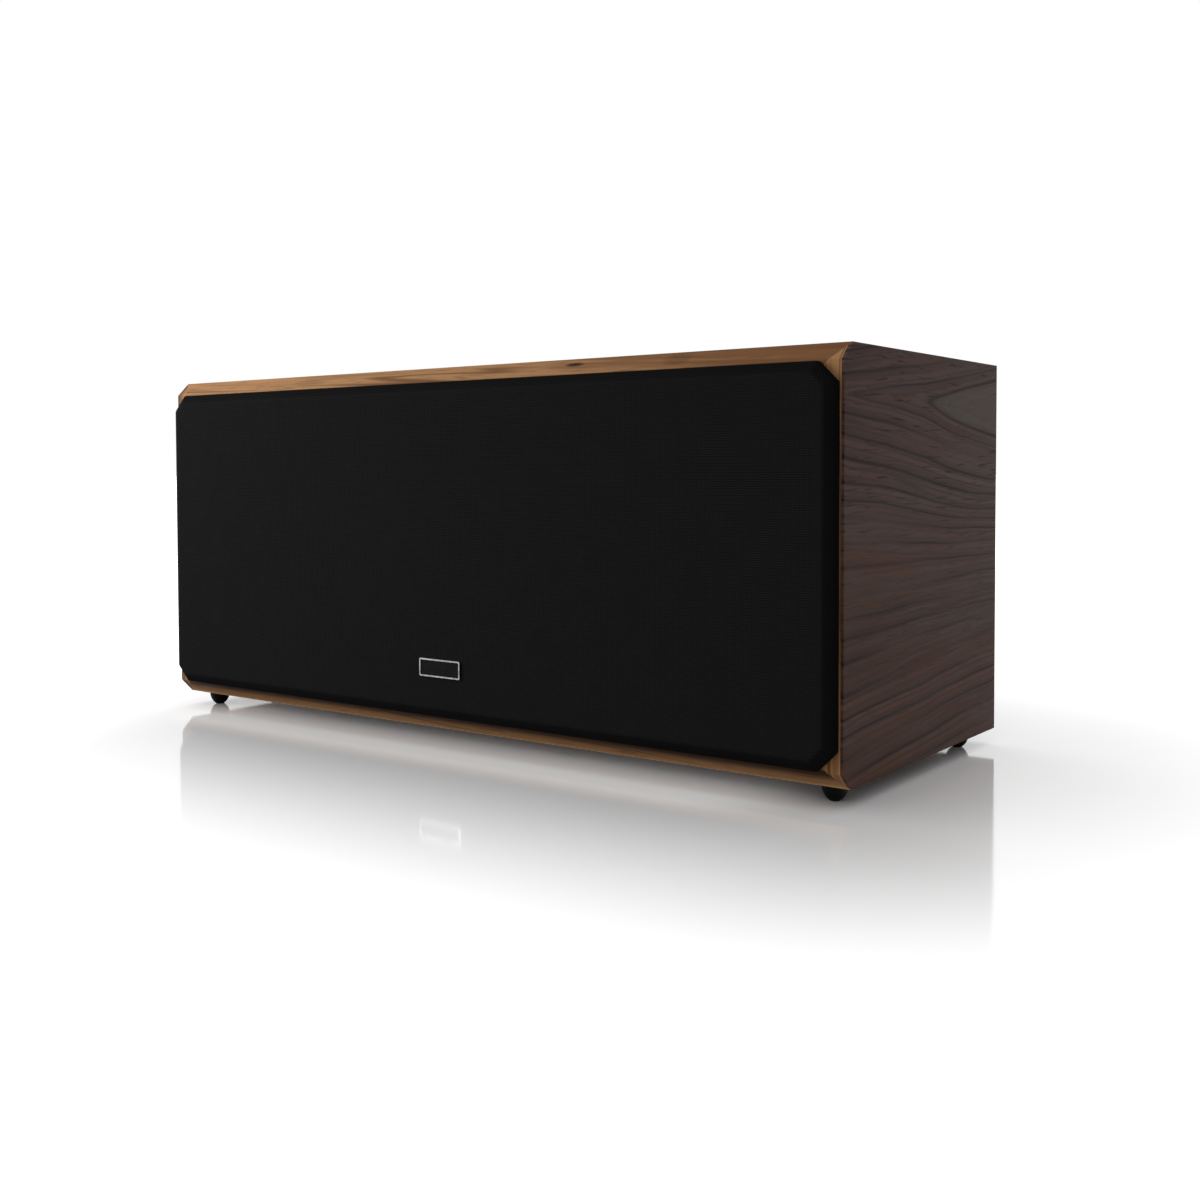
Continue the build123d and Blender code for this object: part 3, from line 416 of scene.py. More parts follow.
# %% [markdown]
# ## Walnut figure
# Walnut veneer shows long fibres, dark growth lines about a centimetre apart and, where the slice meets
# the heart of the tree, a pointed figure like a cathedral window. An image of wood would repeat and show
# its seams. Here the growth lines are the level lines of a simple field that bends round the heart: they
# open out from its point and fan a little further away, as they do on the cabinet's side. The same group
# also makes the pale bevels. There its Fan and Lines sockets stay at 0, so the thin year lines are gone.

# %% Set up the walnut group and its drawn-out noise
walnut_group, grain, figure = new_group(
    "Walnut figure",
    floats("Along", "Across", "Through", "Heart Along", "Heart Across", "Spread", "Paleness", "Fan", "Lines")
    + colours("Dark", "Mid", "Pale", "Heart"),
    colour_and_height + floats("Roughness"),
)
tree = walnut_group
NEXT_SLICE = 3.0


def streaks(across, per_metre, along, detail):
    """Noise drawn out along the grain, from 0 to 1. per_metre and along are its scales across and along."""
    slices = times(walnut_group, grain["Through"], NEXT_SLICE)
    lengths = times(walnut_group, grain["Along"], along)
    drawn = place_at(walnut_group, times(walnut_group, across, per_metre), lengths, slices)
    return clouds(walnut_group, drawn, 1.0, detail)


print("walnut group takes", len(grain) - 1, "values")

# %% Bend the field round the heart
SWAY, ROUND_TIP, STRAIGHTENS, SLANT = 0.010, 2e-6, -50.0, 0.03
FAN_NEAR, FAN_FAR = 1.2, -1.9
sway = times(tree, minus(tree, streaks(grain["Across"], 13.0, along=7.0, detail=2.0), 0.5), SWAY)
across = minus(tree, plus(tree, grain["Across"], sway), grain["Heart Across"])
beyond = minus(tree, grain["Along"], grain["Heart Along"])
aside = sums(tree, "SQRT", plus(tree, times(tree, across, across), ROUND_TIP))
opening = times(tree, sums(tree, "EXPONENT", times(tree, aside, STRAIGHTENS)), grain["Spread"])
opened = times(tree, opening, larger(tree, beyond, 0.0))
fan = times(tree, ease(tree, aside, 0.04, 0.15, FAN_NEAR, FAN_FAR), grain["Fan"])
tilted = times(tree, beyond, plus(tree, fan, SLANT))
rings = minus(tree, minus(tree, aside, tilted), opened)


def heart_edge(inside, outside):
    """One value inside the heart and another outside it."""
    return ease(walnut_group, rings, -0.003, 0.001, inside, outside)


print("field made of", len(tree.nodes), "nodes so far")

# %% [markdown]
# Real walnut shows several marks at once: broad growth lines, a thin line at the end of each year with
# darker late wood before it, finer lines between, and short pores and flecks. They could be painted, one
# image for each board. Here each mark is a ramp over the field or over its own drawn-out noise, so all of
# them follow the figure, and they are weaker in the heart.

# %% Draw growth lines, year lines, pores and flecks
YEARS_A_METRE, YEARS_WANDER, FINE_LINES_A_YEAR = 108.0, 2.2, 2.63
level_lines = size_of(tree, minus(tree, streaks(rings, 105.0, along=3.0, detail=1.0), 0.5))
strong = ease(tree, streaks(rings, 45.0, along=6.0, detail=1.0), 0.36, 0.58)
growth = times(tree, ease(tree, level_lines, 0.004, 0.045, 1.0, 0.0), strong)
soft_strokes = ease(tree, streaks(rings, 230.0, along=4.5, detail=2.0), 0.55, 0.75, 0.0, 0.7)
growth = times(tree, larger(tree, growth, soft_strokes), heart_edge(0.35, 1.0))

wander = times(tree, streaks(rings, 28.0, along=2.0, detail=1.0), YEARS_WANDER)
years = plus(tree, times(tree, rings, YEARS_A_METRE), wander)
year_lines = ease(tree, sums(tree, "PINGPONG", years, 0.5), 0.02, 0.17, 1.0, 0.0)
late_wood = ease(tree, sums(tree, "FRACT", years), 0.4, 1.0, 0.0, 0.55)
fine_lines = sums(tree, "PINGPONG", times(tree, years, FINE_LINES_A_YEAR), 0.5)
fine_lines = ease(tree, fine_lines, 0.04, 0.3, 0.5, 0.0)
year_lines = larger(tree, year_lines, larger(tree, late_wood, fine_lines))
good_years = ease(tree, streaks(rings, 60.0, along=6.0, detail=1.0), 0.32, 0.58, 0.3, 1.0)
year_lines = times(tree, year_lines, times(tree, good_years, grain["Lines"]))
year_lines = times(tree, year_lines, heart_edge(0.2, 1.0))

pores = ease(tree, streaks(across, 1900.0, along=75.0, detail=1.0), 0.62, 0.74)
flecks = ease(tree, streaks(across, 820.0, along=48.0, detail=3.0), 0.53, 0.7)
flecks = times(tree, flecks, heart_edge(0.3, 1.0))
rim = ease(tree, size_of(tree, rings), 0.0003, 0.0016, 0.85, 0.0)
rim = times(tree, rim, ease(tree, aside, 0.014, 0.04, 1.0, 0.0))
print("lines made of", len(tree.nodes), "nodes so far")

# %% [markdown]
# Between the lines the wood goes from mid to pale with its fibres. It is greyer round the heart, and a
# band of slow years about 11 centimetres aside is a little darker. A single colour ramp would tie all of
# that to one noise, so the tints are laid over each other, and the darkest mark at a point wins.

# %% Colour the wood and put the lines on it
HALO = (0.110, 0.0710, 0.0690, 1)
SLOW_YEARS_ASIDE = 0.11
quieter = minus(tree, 1.0, times(tree, grain["Lines"], 0.4))
bands = streaks(rings, 60.0, along=2.0, detail=2.0)
fibre = streaks(rings, 620.0, along=16.0, detail=4.0)
shade = plus(tree, plus(tree, times(tree, fibre, 0.7), times(tree, bands, 0.3)), grain["Paleness"])
slow_years = ease(tree, size_of(tree, minus(tree, aside, SLOW_YEARS_ASIDE)), 0.006, 0.035, 0.12, 0.0)
shade = minus(tree, shade, times(tree, slow_years, grain["Lines"]))
evened = times(tree, minus(tree, ease(tree, shade, 0.36, 0.64), 0.5), quieter)
wood = tint(tree, plus(tree, evened, 0.5), grain["Mid"], grain["Pale"])
halo = times(tree, ease(tree, aside, 0.03, 0.10, 0.6, 0.0), grain["Lines"])
wood = tint(tree, halo, wood, HALO)
greyer = ease(tree, streaks(grain["Across"], 24.0, along=5.0, detail=2.0), 0.42, 0.62, 0.0, 0.2)
wood = tint(tree, greyer, wood, grain["Heart"])
heart_wood = tint(tree, ease(tree, fibre, 0.35, 0.62, 0.5, 1.0), grain["Mid"], grain["Heart"])
wood = tint(tree, heart_edge(0.75, 0.0), wood, heart_wood)

flecks = times(tree, flecks, plus(tree, times(tree, halo, 0.8), 0.5))
darkness = larger(tree, flecks, times(tree, pores, 0.45))
darkness = larger(tree, times(tree, times(tree, growth, quieter), 0.85), darkness)
darkness = larger(tree, larger(tree, darkness, year_lines), rim)
feed(tree, figure["Color"], tint(tree, darkness, wood, grain["Dark"]))
feed(tree, figure["Height"], minus(tree, times(tree, fibre, 0.4), times(tree, pores, 0.6)))
feed(tree, figure["Roughness"], ease(tree, fibre, 0.3, 0.7, 0.5, 0.62))
print("walnut group has", len(tree.nodes), "nodes")

# %% [markdown]
# A knot is a small dark oval where a twig grew. Its mask is 1 in the middle and fades to 0 at its length
# and width, so one group serves for every knot on a bevel.

# %% Build the knot group
knot_group, given, result = new_group(
    "Knot", floats("Along", "Across", "Knot Along", "Knot Across", "Length", "Width"), floats("Mask")
)
tree = knot_group
spans = []
for axis, size in (("Along", "Length"), ("Across", "Width")):
    apart = sums(tree, "DIVIDE", minus(tree, given[axis], given["Knot " + axis]), given[size])
    spans.append(sums(tree, "POWER", size_of(tree, apart), 2.0))
feed(tree, result["Mask"], ease(tree, plus(tree, *spans), 0.0, 1.0, 1.0, 0.0))
print("groups:", ", ".join(group.name for group in bpy.data.node_groups))

# %% [markdown]
# ## Finishes and how nodes get them
# A finish is a Principled BSDF with the groups above in front of it. Values that are the same all over,
# such as how metallic it is, are set on the shader's own sockets, so they survive an export.

# %% Helpers for materials
PLAIN_GLOSS = 0.5


def new_finish(name, gloss=PLAIN_GLOSS, metallic=0.0):
    """A material, its tree and its shader's sockets. gloss is the Specular IOR Level."""
    material = bpy.data.materials.new(name)
    material.use_nodes = True
    shader = material.node_tree.nodes["Principled BSDF"].inputs
    shader["Specular IOR Level"].default_value = gloss
    shader["Metallic"].default_value = metallic
    return material, material.node_tree, shader


def axes(tree):
    """A point's x, y and z by name."""
    return dict(zip("xyz", split(tree, rest_place(tree))))


def relief(tree, shader, height, depth, strength=1.0):
    """Presses a height pattern into the surface, depth metres deep."""
    made = add_node(tree, "ShaderNodeBump")
    made.inputs["Distance"].default_value = depth
    made.inputs["Strength"].default_value = strength
    feed(tree, made.inputs["Height"], height)
    feed(tree, shader["Normal"], made.outputs["Normal"])


def grey(value, warmth=0.0):
    """A neutral colour, a little warmer where warmth is over 0."""
    return (value * (1 + warmth), value, value * (1 - warmth), 1)


dressed = set()


def dress(material, *names):
    """Gives a material to CAD nodes by name."""
    for name in names:
        data = nodes[name].data
        if not data.materials:
            data.materials.append(material)
        for slot in nodes[name].material_slots:
            slot.material = material
        dressed.add(name)


print("material helpers ready")

# %% [markdown]
# ## The walnut cabinet
# Four mitred boards wrap the cabinet. Their broad faces are dark walnut with a satin oil, and the bevels
# and front edges are cut through to paler, warmer wood; their colour is also partly painted light, as the
# front faces catch the light while the broad faces stand in shade. One material for each board lets the
# grain run the right way: front to back on the sides, along the width on the top and bottom. The surface
# normal tells the bevels and the front edges from the broad faces, and the back edges are painted black.
# The bottom bevel carries a painted shadow along the grille and a painted pale band of light at its outer
# edge.

# %% Write the veneer
DARK, MID, PALE = (0.016, 0.009, 0.008, 1), (0.058, 0.0268, 0.0180, 1), (0.152, 0.0756, 0.0532, 1)
HEART, QUIET_HEART = (0.128, 0.115, 0.103, 1), (0.110, 0.068, 0.059, 1)
# The bevels' and front edges' colours: their own paler, warmer wood, made paler still as painted light for
# front faces that catch the light.
EDGE_DARK, EDGE_MID, EDGE_PALE = (0.110, 0.048, 0.019, 1), (0.18, 0.082, 0.034, 1), (0.35, 0.184, 0.081, 1)
# The knot colour also darkens the painted grille shadow on the bottom bevel, and the next colour is its
# painted pale band of light.
KNOT_AND_SHADOW, PAINTED_LIT_BAND_COLOUR = (0.022, 0.009, 0.005, 1), (0.52, 0.29, 0.14, 1)
FAN, LINES = 0.05, 0.95
FRONT_FACING, BACK_FACING = -0.3, 0.5


def veneer(name, face_grain, heart, spread, heart_tone, edge_grain, painted_edge_light, knots=(), wraps=None, painted_light_and_shade=None):
    """Walnut for one board.

    Each grain names two axes, along and across. heart is the point of the figure on the face, and spread
    is how fast it opens. glow is painted light that makes the bevel paler, and knots lie on it. Beyond
    wraps the dark veneer goes round the corner, and stain gives the heights of a painted pale band of light
    at the bevel's outer edge and of a painted shadow line above it, along the grille.
    """
    material, tree, shader = new_finish(name, gloss=0.05)
    place = axes(tree)
    (through,) = set("xyz") - set(face_grain)
    face = place_group(
        tree, walnut_group, along=place[face_grain[0]], across=place[face_grain[1]], through=place[through],
        heart_along=heart[0], heart_across=heart[1], spread=spread, fan=FAN, lines=LINES,
        dark=DARK, mid=MID, pale=PALE, heart=heart_tone,
    )
    on_edge = {"along": place[edge_grain[0]], "across": place[edge_grain[1]]}
    edge = place_group(
        tree, walnut_group, **on_edge, through=0.3, heart_along=1.0, heart_across=0.4, spread=0.0,
        # Painted light: the bevels are paler over the left half and darker towards the right end, away from
        # the light, and each board's added paleness is painted light too.
        paleness=ease(tree, place["x"], 0.0, 0.27, 0.14 + painted_edge_light, -0.22 + painted_edge_light),
        dark=EDGE_DARK, mid=EDGE_MID, pale=EDGE_PALE, heart=EDGE_MID,
    )
    edge_colour = edge["Color"]
    for knot_along, knot_across, length, width, strength in knots:
        knot = place_group(
            tree, knot_group, **on_edge, knot_along=knot_along, knot_across=knot_across,
            length=length, width=width,
        )
        edge_colour = tint(tree, times(tree, knot["Mask"], strength), edge_colour, KNOT_AND_SHADOW)
    # Painted light and shade on the bottom bevel: a pale band at the outer edge stands for light from the
    # floor, and a dark line above it is the grille's painted shadow, fading out above the grille's lower
    # edge.
    if painted_light_and_shade:
        painted_lit_band = ease(tree, place["z"], painted_light_and_shade["painted_lit_band"], painted_light_and_shade["shadow_starts"], 1.0, 0.0)
        painted_grille_shadow = ease(tree, place["z"], painted_light_and_shade["shadow_starts"], painted_light_and_shade["dark"], 0.0, 0.95)
        fading = ease(tree, place["z"], painted_light_and_shade["fading"], painted_light_and_shade["gone"], 1.0, 0.15)
        edge_colour = tint(tree, painted_lit_band, edge_colour, PAINTED_LIT_BAND_COLOUR)
        edge_colour = tint(tree, times(tree, painted_grille_shadow, fading), edge_colour, KNOT_AND_SHADOW)
    if wraps:
        outermost = sums(tree, "GREATER_THAN", size_of(tree, place["x"]), wraps)
        edge_colour = tint(tree, outermost, edge_colour, face["Color"])
    facing = split(tree, rest_place(tree, "Normal"))[1]
    # Front-facing faces take the edge colour, partly painted light against the shaded broad faces.
    colour = tint(tree, sums(tree, "LESS_THAN", facing, FRONT_FACING), face["Color"], edge_colour)
    back = sums(tree, "GREATER_THAN", facing, BACK_FACING)
    feed(tree, shader["Base Color"], tint(tree, back, colour, grey(0.012)))
    feed(tree, shader["Roughness"], face["Roughness"])
    relief(tree, shader, face["Height"], 6e-5, 0.6)
    return material


print("veneer ready")

# %% Make one veneer for each board
VENEER_STARTS = cad_box[1][0] - 1.5 * MM
# Each knot's place along and across, its length and width, and how dark it is.
TOP_KNOTS = (
    (0.083, 0.2057, 0.0075, 0.0013, 1.0),
    (-0.113, 0.2045, 0.016, 0.003, 0.25),
    (0.145, 0.2052, 0.01, 0.004, 0.3),
)
# Heights on the bottom bevel: where the painted pale band is full, where it ends and the painted shadow
# starts, where the shadow is darkest, and where it begins and ends its fade.
BOTTOM_PAINTED_LIGHT_AND_SHADE = {
    "painted_lit_band": 8.8 * MM, "shadow_starts": 11.0 * MM, "dark": 16.0 * MM, "fading": 17.2 * MM, "gone": 18.6 * MM,
}
# The added paleness on the bottom bevel is painted light from the floor below it, and on the right side's
# front edges a painted highlight.
right_side = veneer(
    "walnut_right", "yz", heart=(-0.0025, 0.1865), spread=0.135, heart_tone=HEART,
    edge_grain="zx", painted_edge_light=0.3, wraps=VENEER_STARTS,
)
left_side = veneer(
    "walnut_left", "yz", heart=(-0.03, 0.07), spread=0.07, heart_tone=QUIET_HEART,
    edge_grain="zx", painted_edge_light=0.0, wraps=VENEER_STARTS,
)
top_board = veneer(
    "walnut_top", "xy", heart=(-0.05, 0.03), spread=0.03, heart_tone=QUIET_HEART,
    edge_grain="xz", painted_edge_light=0.0, knots=TOP_KNOTS,
)
bottom_board = veneer(
    "walnut_bottom", "xy", heart=(0.08, -0.02), spread=0.03, heart_tone=QUIET_HEART,
    edge_grain="xz", painted_edge_light=0.45, painted_light_and_shade=BOTTOM_PAINTED_LIGHT_AND_SHADE,
)
dress(right_side, "right_side_panel")
dress(left_side, "left_side_panel")
dress(top_board, "top_panel")
dress(bottom_board, "bottom_panel")
print("veneered", sorted(dressed))

# %% [markdown]
# ## Paint, bare board, plastics, rubber and metals
# These finishes differ in colour, gloss and the size of their speckle: sprayed paint has a fine orange
# peel, bare board shows fibres, moulded plastic is spark-eroded, ferrite is gritty. One function with
# the speckle group makes them all, and each call below is one finish with its own values.

# %% Dress the boards, the feet and the grille's hard pieces
def speckled(name, dark, light, scale, rough, bump, gloss=PLAIN_GLOSS, metallic=0.0):
    """A finish with a speckle in colour, roughness and relief. scale is speckles a metre."""
    material, tree, shader = new_finish(name, gloss, metallic)
    speckle = place_group(tree, speckle_group, place=rest_place(tree), scale=scale, dark=dark, light=light)
    feed(tree, shader["Base Color"], speckle["Color"])
    feed(tree, shader["Roughness"], ease(tree, speckle["Height"], 0.3, 0.7, rough[0], rough[1]))
    relief(tree, shader, speckle["Height"], bump)
    return material


paint = speckled("black_paint", grey(0.010), grey(0.016), scale=900, rough=(0.5, 0.62), bump=6e-5, gloss=0.12)
board = speckled(
    "bare_fibreboard", (0.30, 0.19, 0.10, 1), (0.42, 0.29, 0.17, 1), scale=700, rough=(0.8, 0.95), bump=8e-5
)
feet = speckled("foot_rubber", grey(0.004), grey(0.007), scale=600, rough=(0.35, 0.5), bump=2e-5, gloss=0.05)
frame_board = speckled(
    "stained_board", grey(0.008), grey(0.014), scale=800, rough=(0.7, 0.9), bump=5e-5, gloss=0.2
)
nylon = speckled("peg_nylon", grey(0.012), grey(0.018), scale=900, rough=(0.45, 0.6), bump=2e-5, gloss=0.2)
cups = speckled(
    "socket_rubber", grey(0.008), grey(0.012), scale=700, rough=(0.7, 0.85), bump=3e-5, gloss=0.15
)
dress(paint, "front_baffle", "rear_panel")
dress(board, "left_brace", "right_brace")
dress(feet, "front_left_foot", "front_right_foot", "rear_left_foot", "rear_right_foot")
dress(frame_board, "grille_frame")
dress(nylon, "grille_pegs", "board_standoffs")
dress(cups, "grille_sockets")
print("dressed so far:", len(dressed), "of", len(nodes))

# %% [markdown]
# The drivers are hidden behind the grille, but they show when it is pulled. Baskets are powder coated,
# the plates of the magnets are zinc plated steel, and the tweeter has a metal dome in a plastic plate.

# %% Dress the hard pieces of the drivers
DRIVERS = ("left_woofer", "right_woofer", "tweeter")
for side in ("left", "right"):
    powder = speckled(
        f"{side}_basket_powder_coat", grey(0.012), grey(0.02), scale=1500, rough=(0.45, 0.6), bump=5e-5,
        gloss=0.2,
    )
    dress(powder, f"{side}_woofer_basket")
zinc = speckled(
    "zinc_plate", grey(0.42, 0.02), grey(0.58, 0.02), scale=260, rough=(0.28, 0.45), bump=1e-5, metallic=1.0
)
ferrite = speckled("ferrite", grey(0.035), grey(0.06), scale=1200, rough=(0.65, 0.85), bump=6e-5)
plastic = speckled(
    "faceplate_plastic", grey(0.012), grey(0.018), scale=1600, rough=(0.5, 0.62), bump=3e-5, gloss=0.2
)
anodised = speckled(
    "anodised_dome", grey(0.30, 0.01), grey(0.36, 0.01), scale=500, rough=(0.24, 0.34), bump=5e-6,
    metallic=1.0,
)
screws = speckled(
    "blackened_screws", grey(0.02), grey(0.035), scale=1500, rough=(0.3, 0.45), bump=1e-5, metallic=0.9
)
dress(zinc, *[f"{driver}_{piece}" for driver in DRIVERS for piece in ("top_plate", "yoke")])
dress(ferrite, *[f"{driver}_magnet" for driver in DRIVERS])
dress(plastic, "tweeter_faceplate")
dress(anodised, "tweeter_dome")
dress(screws, "mounting_screws")
print("dressed so far:", len(dressed), "of", len(nodes))

# %% [markdown]
# The back has moulded ports and a terminal cup with gilt posts under a red and a black cap. The crossover
# inside is a green laminate with film capacitors and cement resistors, in the usual colours.

# %% Dress the ports, the terminals and the crossover
tubes = speckled(
    "port_plastic", grey(0.012), grey(0.017), scale=1300, rough=(0.4, 0.52), bump=3e-5, gloss=0.22
)
cup = speckled("cup_plastic", grey(0.013), grey(0.019), scale=1700, rough=(0.48, 0.62), bump=4e-5, gloss=0.22)
gilt = speckled(
    "gilt_brass", (0.62, 0.42, 0.16, 1), (0.80, 0.58, 0.26, 1), scale=450, rough=(0.16, 0.3), bump=4e-6,
    metallic=1.0,
)
red = speckled(
    "red_cap_plastic", (0.30, 0.008, 0.008, 1), (0.42, 0.014, 0.012, 1), scale=300, rough=(0.14, 0.24),
    bump=4e-6, gloss=0.2,
)
black = speckled(
    "black_cap_plastic", grey(0.009), grey(0.014), scale=300, rough=(0.14, 0.24), bump=4e-6, gloss=0.2
)
laminate = speckled(
    "green_laminate", (0.010, 0.075, 0.028, 1), (0.018, 0.11, 0.042, 1), scale=240, rough=(0.3, 0.45),
    bump=1e-5,
)
film = speckled(
    "capacitor_film", (0.42, 0.27, 0.04, 1), (0.52, 0.36, 0.07, 1), scale=180, rough=(0.18, 0.3), bump=1e-5
)
cement = speckled("white_cement", grey(0.52, 0.03), grey(0.66, 0.03), scale=900, rough=(0.8, 0.95), bump=9e-5)
dress(tubes, "left_port_tube", "right_port_tube")
dress(cup, "terminal_cup")
dress(gilt, "red_post", "black_post", "red_post_washer", "black_post_washer", "post_nuts")
dress(red, "red_post_cap")
dress(black, "black_post_cap")
dress(laminate, "crossover_board")
dress(film, "crossover_capacitors")
dress(cement, "crossover_resistors")
print("dressed so far:", len(dressed), "of", len(nodes))

# %% [markdown]
# ## Coils
# Voice coils and crossover inductors are wound from fine round wire. Modelling every turn would cost
# many thousand faces for pieces deep inside, so the winding group draws the turns along the coil's axis
# and raises them as relief.

# %% Make the wound finishes
COPPER_DARK, COPPER_LIGHT = (0.20, 0.06, 0.02, 1), (0.55, 0.22, 0.09, 1)


def wound(name, axis, turns):
    """Copper wire wound along one axis, with turns a metre."""
    material, tree, shader = new_finish(name, metallic=1.0)
    along = axes(tree)[axis]
    wire = place_group(tree, winding_group, along=along, turns=turns, dark=COPPER_DARK, light=COPPER_LIGHT)
    feed(tree, shader["Base Color"], wire["Color"])
    feed(tree, shader["Roughness"], ease(tree, wire["Height"], 0.0, 1.0, 0.5, 0.25))
    relief(tree, shader, wire["Height"], 1.5e-4)
    return material


dress(wound("voice_coil_wire", "y", turns=2600), *[f"{driver}_voice_coil" for driver in DRIVERS])
dress(wound("inductor_wire", "z", turns=1100), "crossover_inductors")
print("dressed so far:", len(dressed), "of", len(nodes))

# %% [markdown]
# ## Woven cones
# The cones and their dust caps are pressed from a coated woven fibre. The weave is drawn in the front
# view's X and Z, as the flat cloth lay before it was pressed, so it runs straight across cone and cap.

# %% Make the cone weave
def woven(name, threads, dark, light, depth, rough):
    """A coated weave seen from the front, with threads a metre."""
    material, tree, shader = new_finish(name)
    place = axes(tree)
    weave = place_group(
        tree, weave_group, across=place["x"], up=place["z"], threads=threads, dark=dark, light=light
    )
    feed(tree, shader["Base Color"], weave["Color"])
    feed(tree, shader["Roughness"], ease(tree, weave["Height"], 0.0, 1.0, rough[1], rough[0]))
    relief(tree, shader, weave["Height"], depth)
    return material


cone_cloth = woven("cone_weave", 420, grey(0.010), grey(0.055, 0.06), depth=2e-4, rough=(0.3, 0.5))
cap_cloth = woven("cap_weave", 420, grey(0.010), grey(0.045, 0.06), depth=2e-4, rough=(0.28, 0.46))
dress(cone_cloth, "left_woofer_cone", "right_woofer_cone")
dress(cap_cloth, "left_woofer_dust_cap", "right_woofer_dust_cap")
print("dressed so far:", len(dressed), "of", len(nodes))

# %% [markdown]
# ## The badge
# A small plate sits on the cloth below the middle: a bright chrome rim round a plain dark field. The
# field is brushed along its length, so its speckle is stretched sideways before it is used.

# %% Make the chrome rim and the brushed plate
STROKE_STRETCH, STROKES_A_METRE = 0.06, 5200
chrome = speckled(
    "badge_chrome", grey(0.20), grey(0.36), scale=420, rough=(0.1, 0.2), bump=2e-6, metallic=1.0
)
dress(chrome, "badge_frame")
brushed, tree, shader = new_finish("badge_plate_brushed", gloss=0.03)
place = axes(tree)
stretched = place_at(tree, times(tree, place["x"], STROKE_STRETCH), place["y"], place["z"])
strokes = place_group(
    tree, speckle_group, place=stretched, scale=STROKES_A_METRE, dark=grey(0.003), light=grey(0.012)
)
feed(tree, shader["Base Color"], strokes["Color"])
feed(tree, shader["Roughness"], ease(tree, strokes["Height"], 0.3, 0.7, 0.3, 0.45))
relief(tree, shader, strokes["Height"], 6e-6)
dress(brushed, "badge_plate")
print("dressed so far:", len(dressed), "of", len(nodes))

# %% [markdown]
# ## The grille cloth
# Thin black cloth is stretched over the grille board: it lies flat on the front, turns over the bevels,
# runs down the sides and is glued to the back in a narrow hem. A cloth simulation would only relax a
# sheet that is already tight, so it is built as rings instead: the outline of the board, with its clipped
# corners softly rounded, follows one folded profile from the hem to the front. A second layer just
# inside gives it its thickness. Each point also keeps its place on the flat cloth, for the weave.

# %% Fold the cloth's profile
cloth_low, cloth_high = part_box("grille_cloth")
HALF_WIDTH, HALF_HEIGHT = (cloth_high.x - cloth_low.x) / 2, (cloth_high.z - cloth_low.z) / 2
CLOTH_MIDDLE = (cloth_high.z + cloth_low.z) / 2
CLOTH_BACK = cloth_high.y
CLOTH = 0.22 * MM
HEM = 9.5 * MM
BEVEL_STARTS, BEVEL_INSET, FLAT_INSET = 3.6 * MM, 5.4 * MM, 9.0 * MM
FOLD_RADII = (0.5 * MM, 1.6 * MM, 4.5 * MM)


def fold(points, radii, steps=6):
    """A line of (inset, height) points with its inner corners rounded to the given radii."""
    line = [Vector(points[0])]
    for before, here, after, radius in zip(points, points[1:], points[2:], radii):
        before, here, after = Vector(before), Vector(here), Vector(after)
        back, on = (before - here).normalized(), (after - here).normalized()
        reach = radius / math.tan(back.angle(on) / 2)
        start, end = here + back * reach, here + on * reach
        for step in range(steps + 1):
            share = step / steps
            line.append((1 - share) ** 2 * start + 2 * share * (1 - share) * here + share**2 * end)
    return line + [Vector(points[-1])]


front = CLOTH_BACK - cloth_low.y
folded = fold(
    [(HEM, -CLOTH), (0.0, -CLOTH), (0.0, BEVEL_STARTS), (BEVEL_INSET, front), (FLAT_INSET, front)], FOLD_RADII
)
run = [0.0]
for first, second in zip(folded, folded[1:]):
    run.append(run[-1] + (second - first).length)
print("from hem to front the cloth runs", round(run[-1] / MM, 2), "mm")

# %% Draw the grille's outline
CORNER_CLIP, CORNER_ROUND = 9.5 * MM, 2.2 * MM
CORNER_STEPS = 6
CORNER_TURN = math.pi / 4


def outline(inset):
    """The grille's outline moved in by inset: places and outward directions round it."""
    w, h = HALF_WIDTH - inset, HALF_HEIGHT - inset
    c = CORNER_CLIP - inset * (1 - math.tan(CORNER_TURN / 2))
    corners = [(w, c - h), (w, h - c), (w - c, h), (c - w, h)]
    corners += [(-x, -z) for x, z in corners]
    places = []
    for index, corner in enumerate(corners):
        here = Vector(corner)
        back = (Vector(corners[index - 1]) - here).normalized()
        on = (Vector(corners[(index + 1) % len(corners)]) - here).normalized()
        centre = here + (back + on).normalized() * CORNER_ROUND / math.cos(CORNER_TURN / 2)
        start = here + back * CORNER_ROUND * math.tan(CORNER_TURN / 2) - centre
        first = math.atan2(start.y, start.x)
        for step in range(CORNER_STEPS + 1):
            angle = first + CORNER_TURN * step / CORNER_STEPS
            way = Vector((math.cos(angle), math.sin(angle)))
            places.append((centre + way * CORNER_ROUND, way))
    return places


print("outline of", len(outline(0.0)), "points")

# %% Build the stretched cloth
def link_mesh(name, shape):
    """Turns a finished bmesh into a smooth object in the scene."""
    for face in shape.faces:
        face.smooth = True
    mesh = bpy.data.meshes.new(name)
    shape.to_mesh(mesh)
    shape.free()
    made = bpy.data.objects.new(name, mesh)
    scene.collection.objects.link(made)
    return made


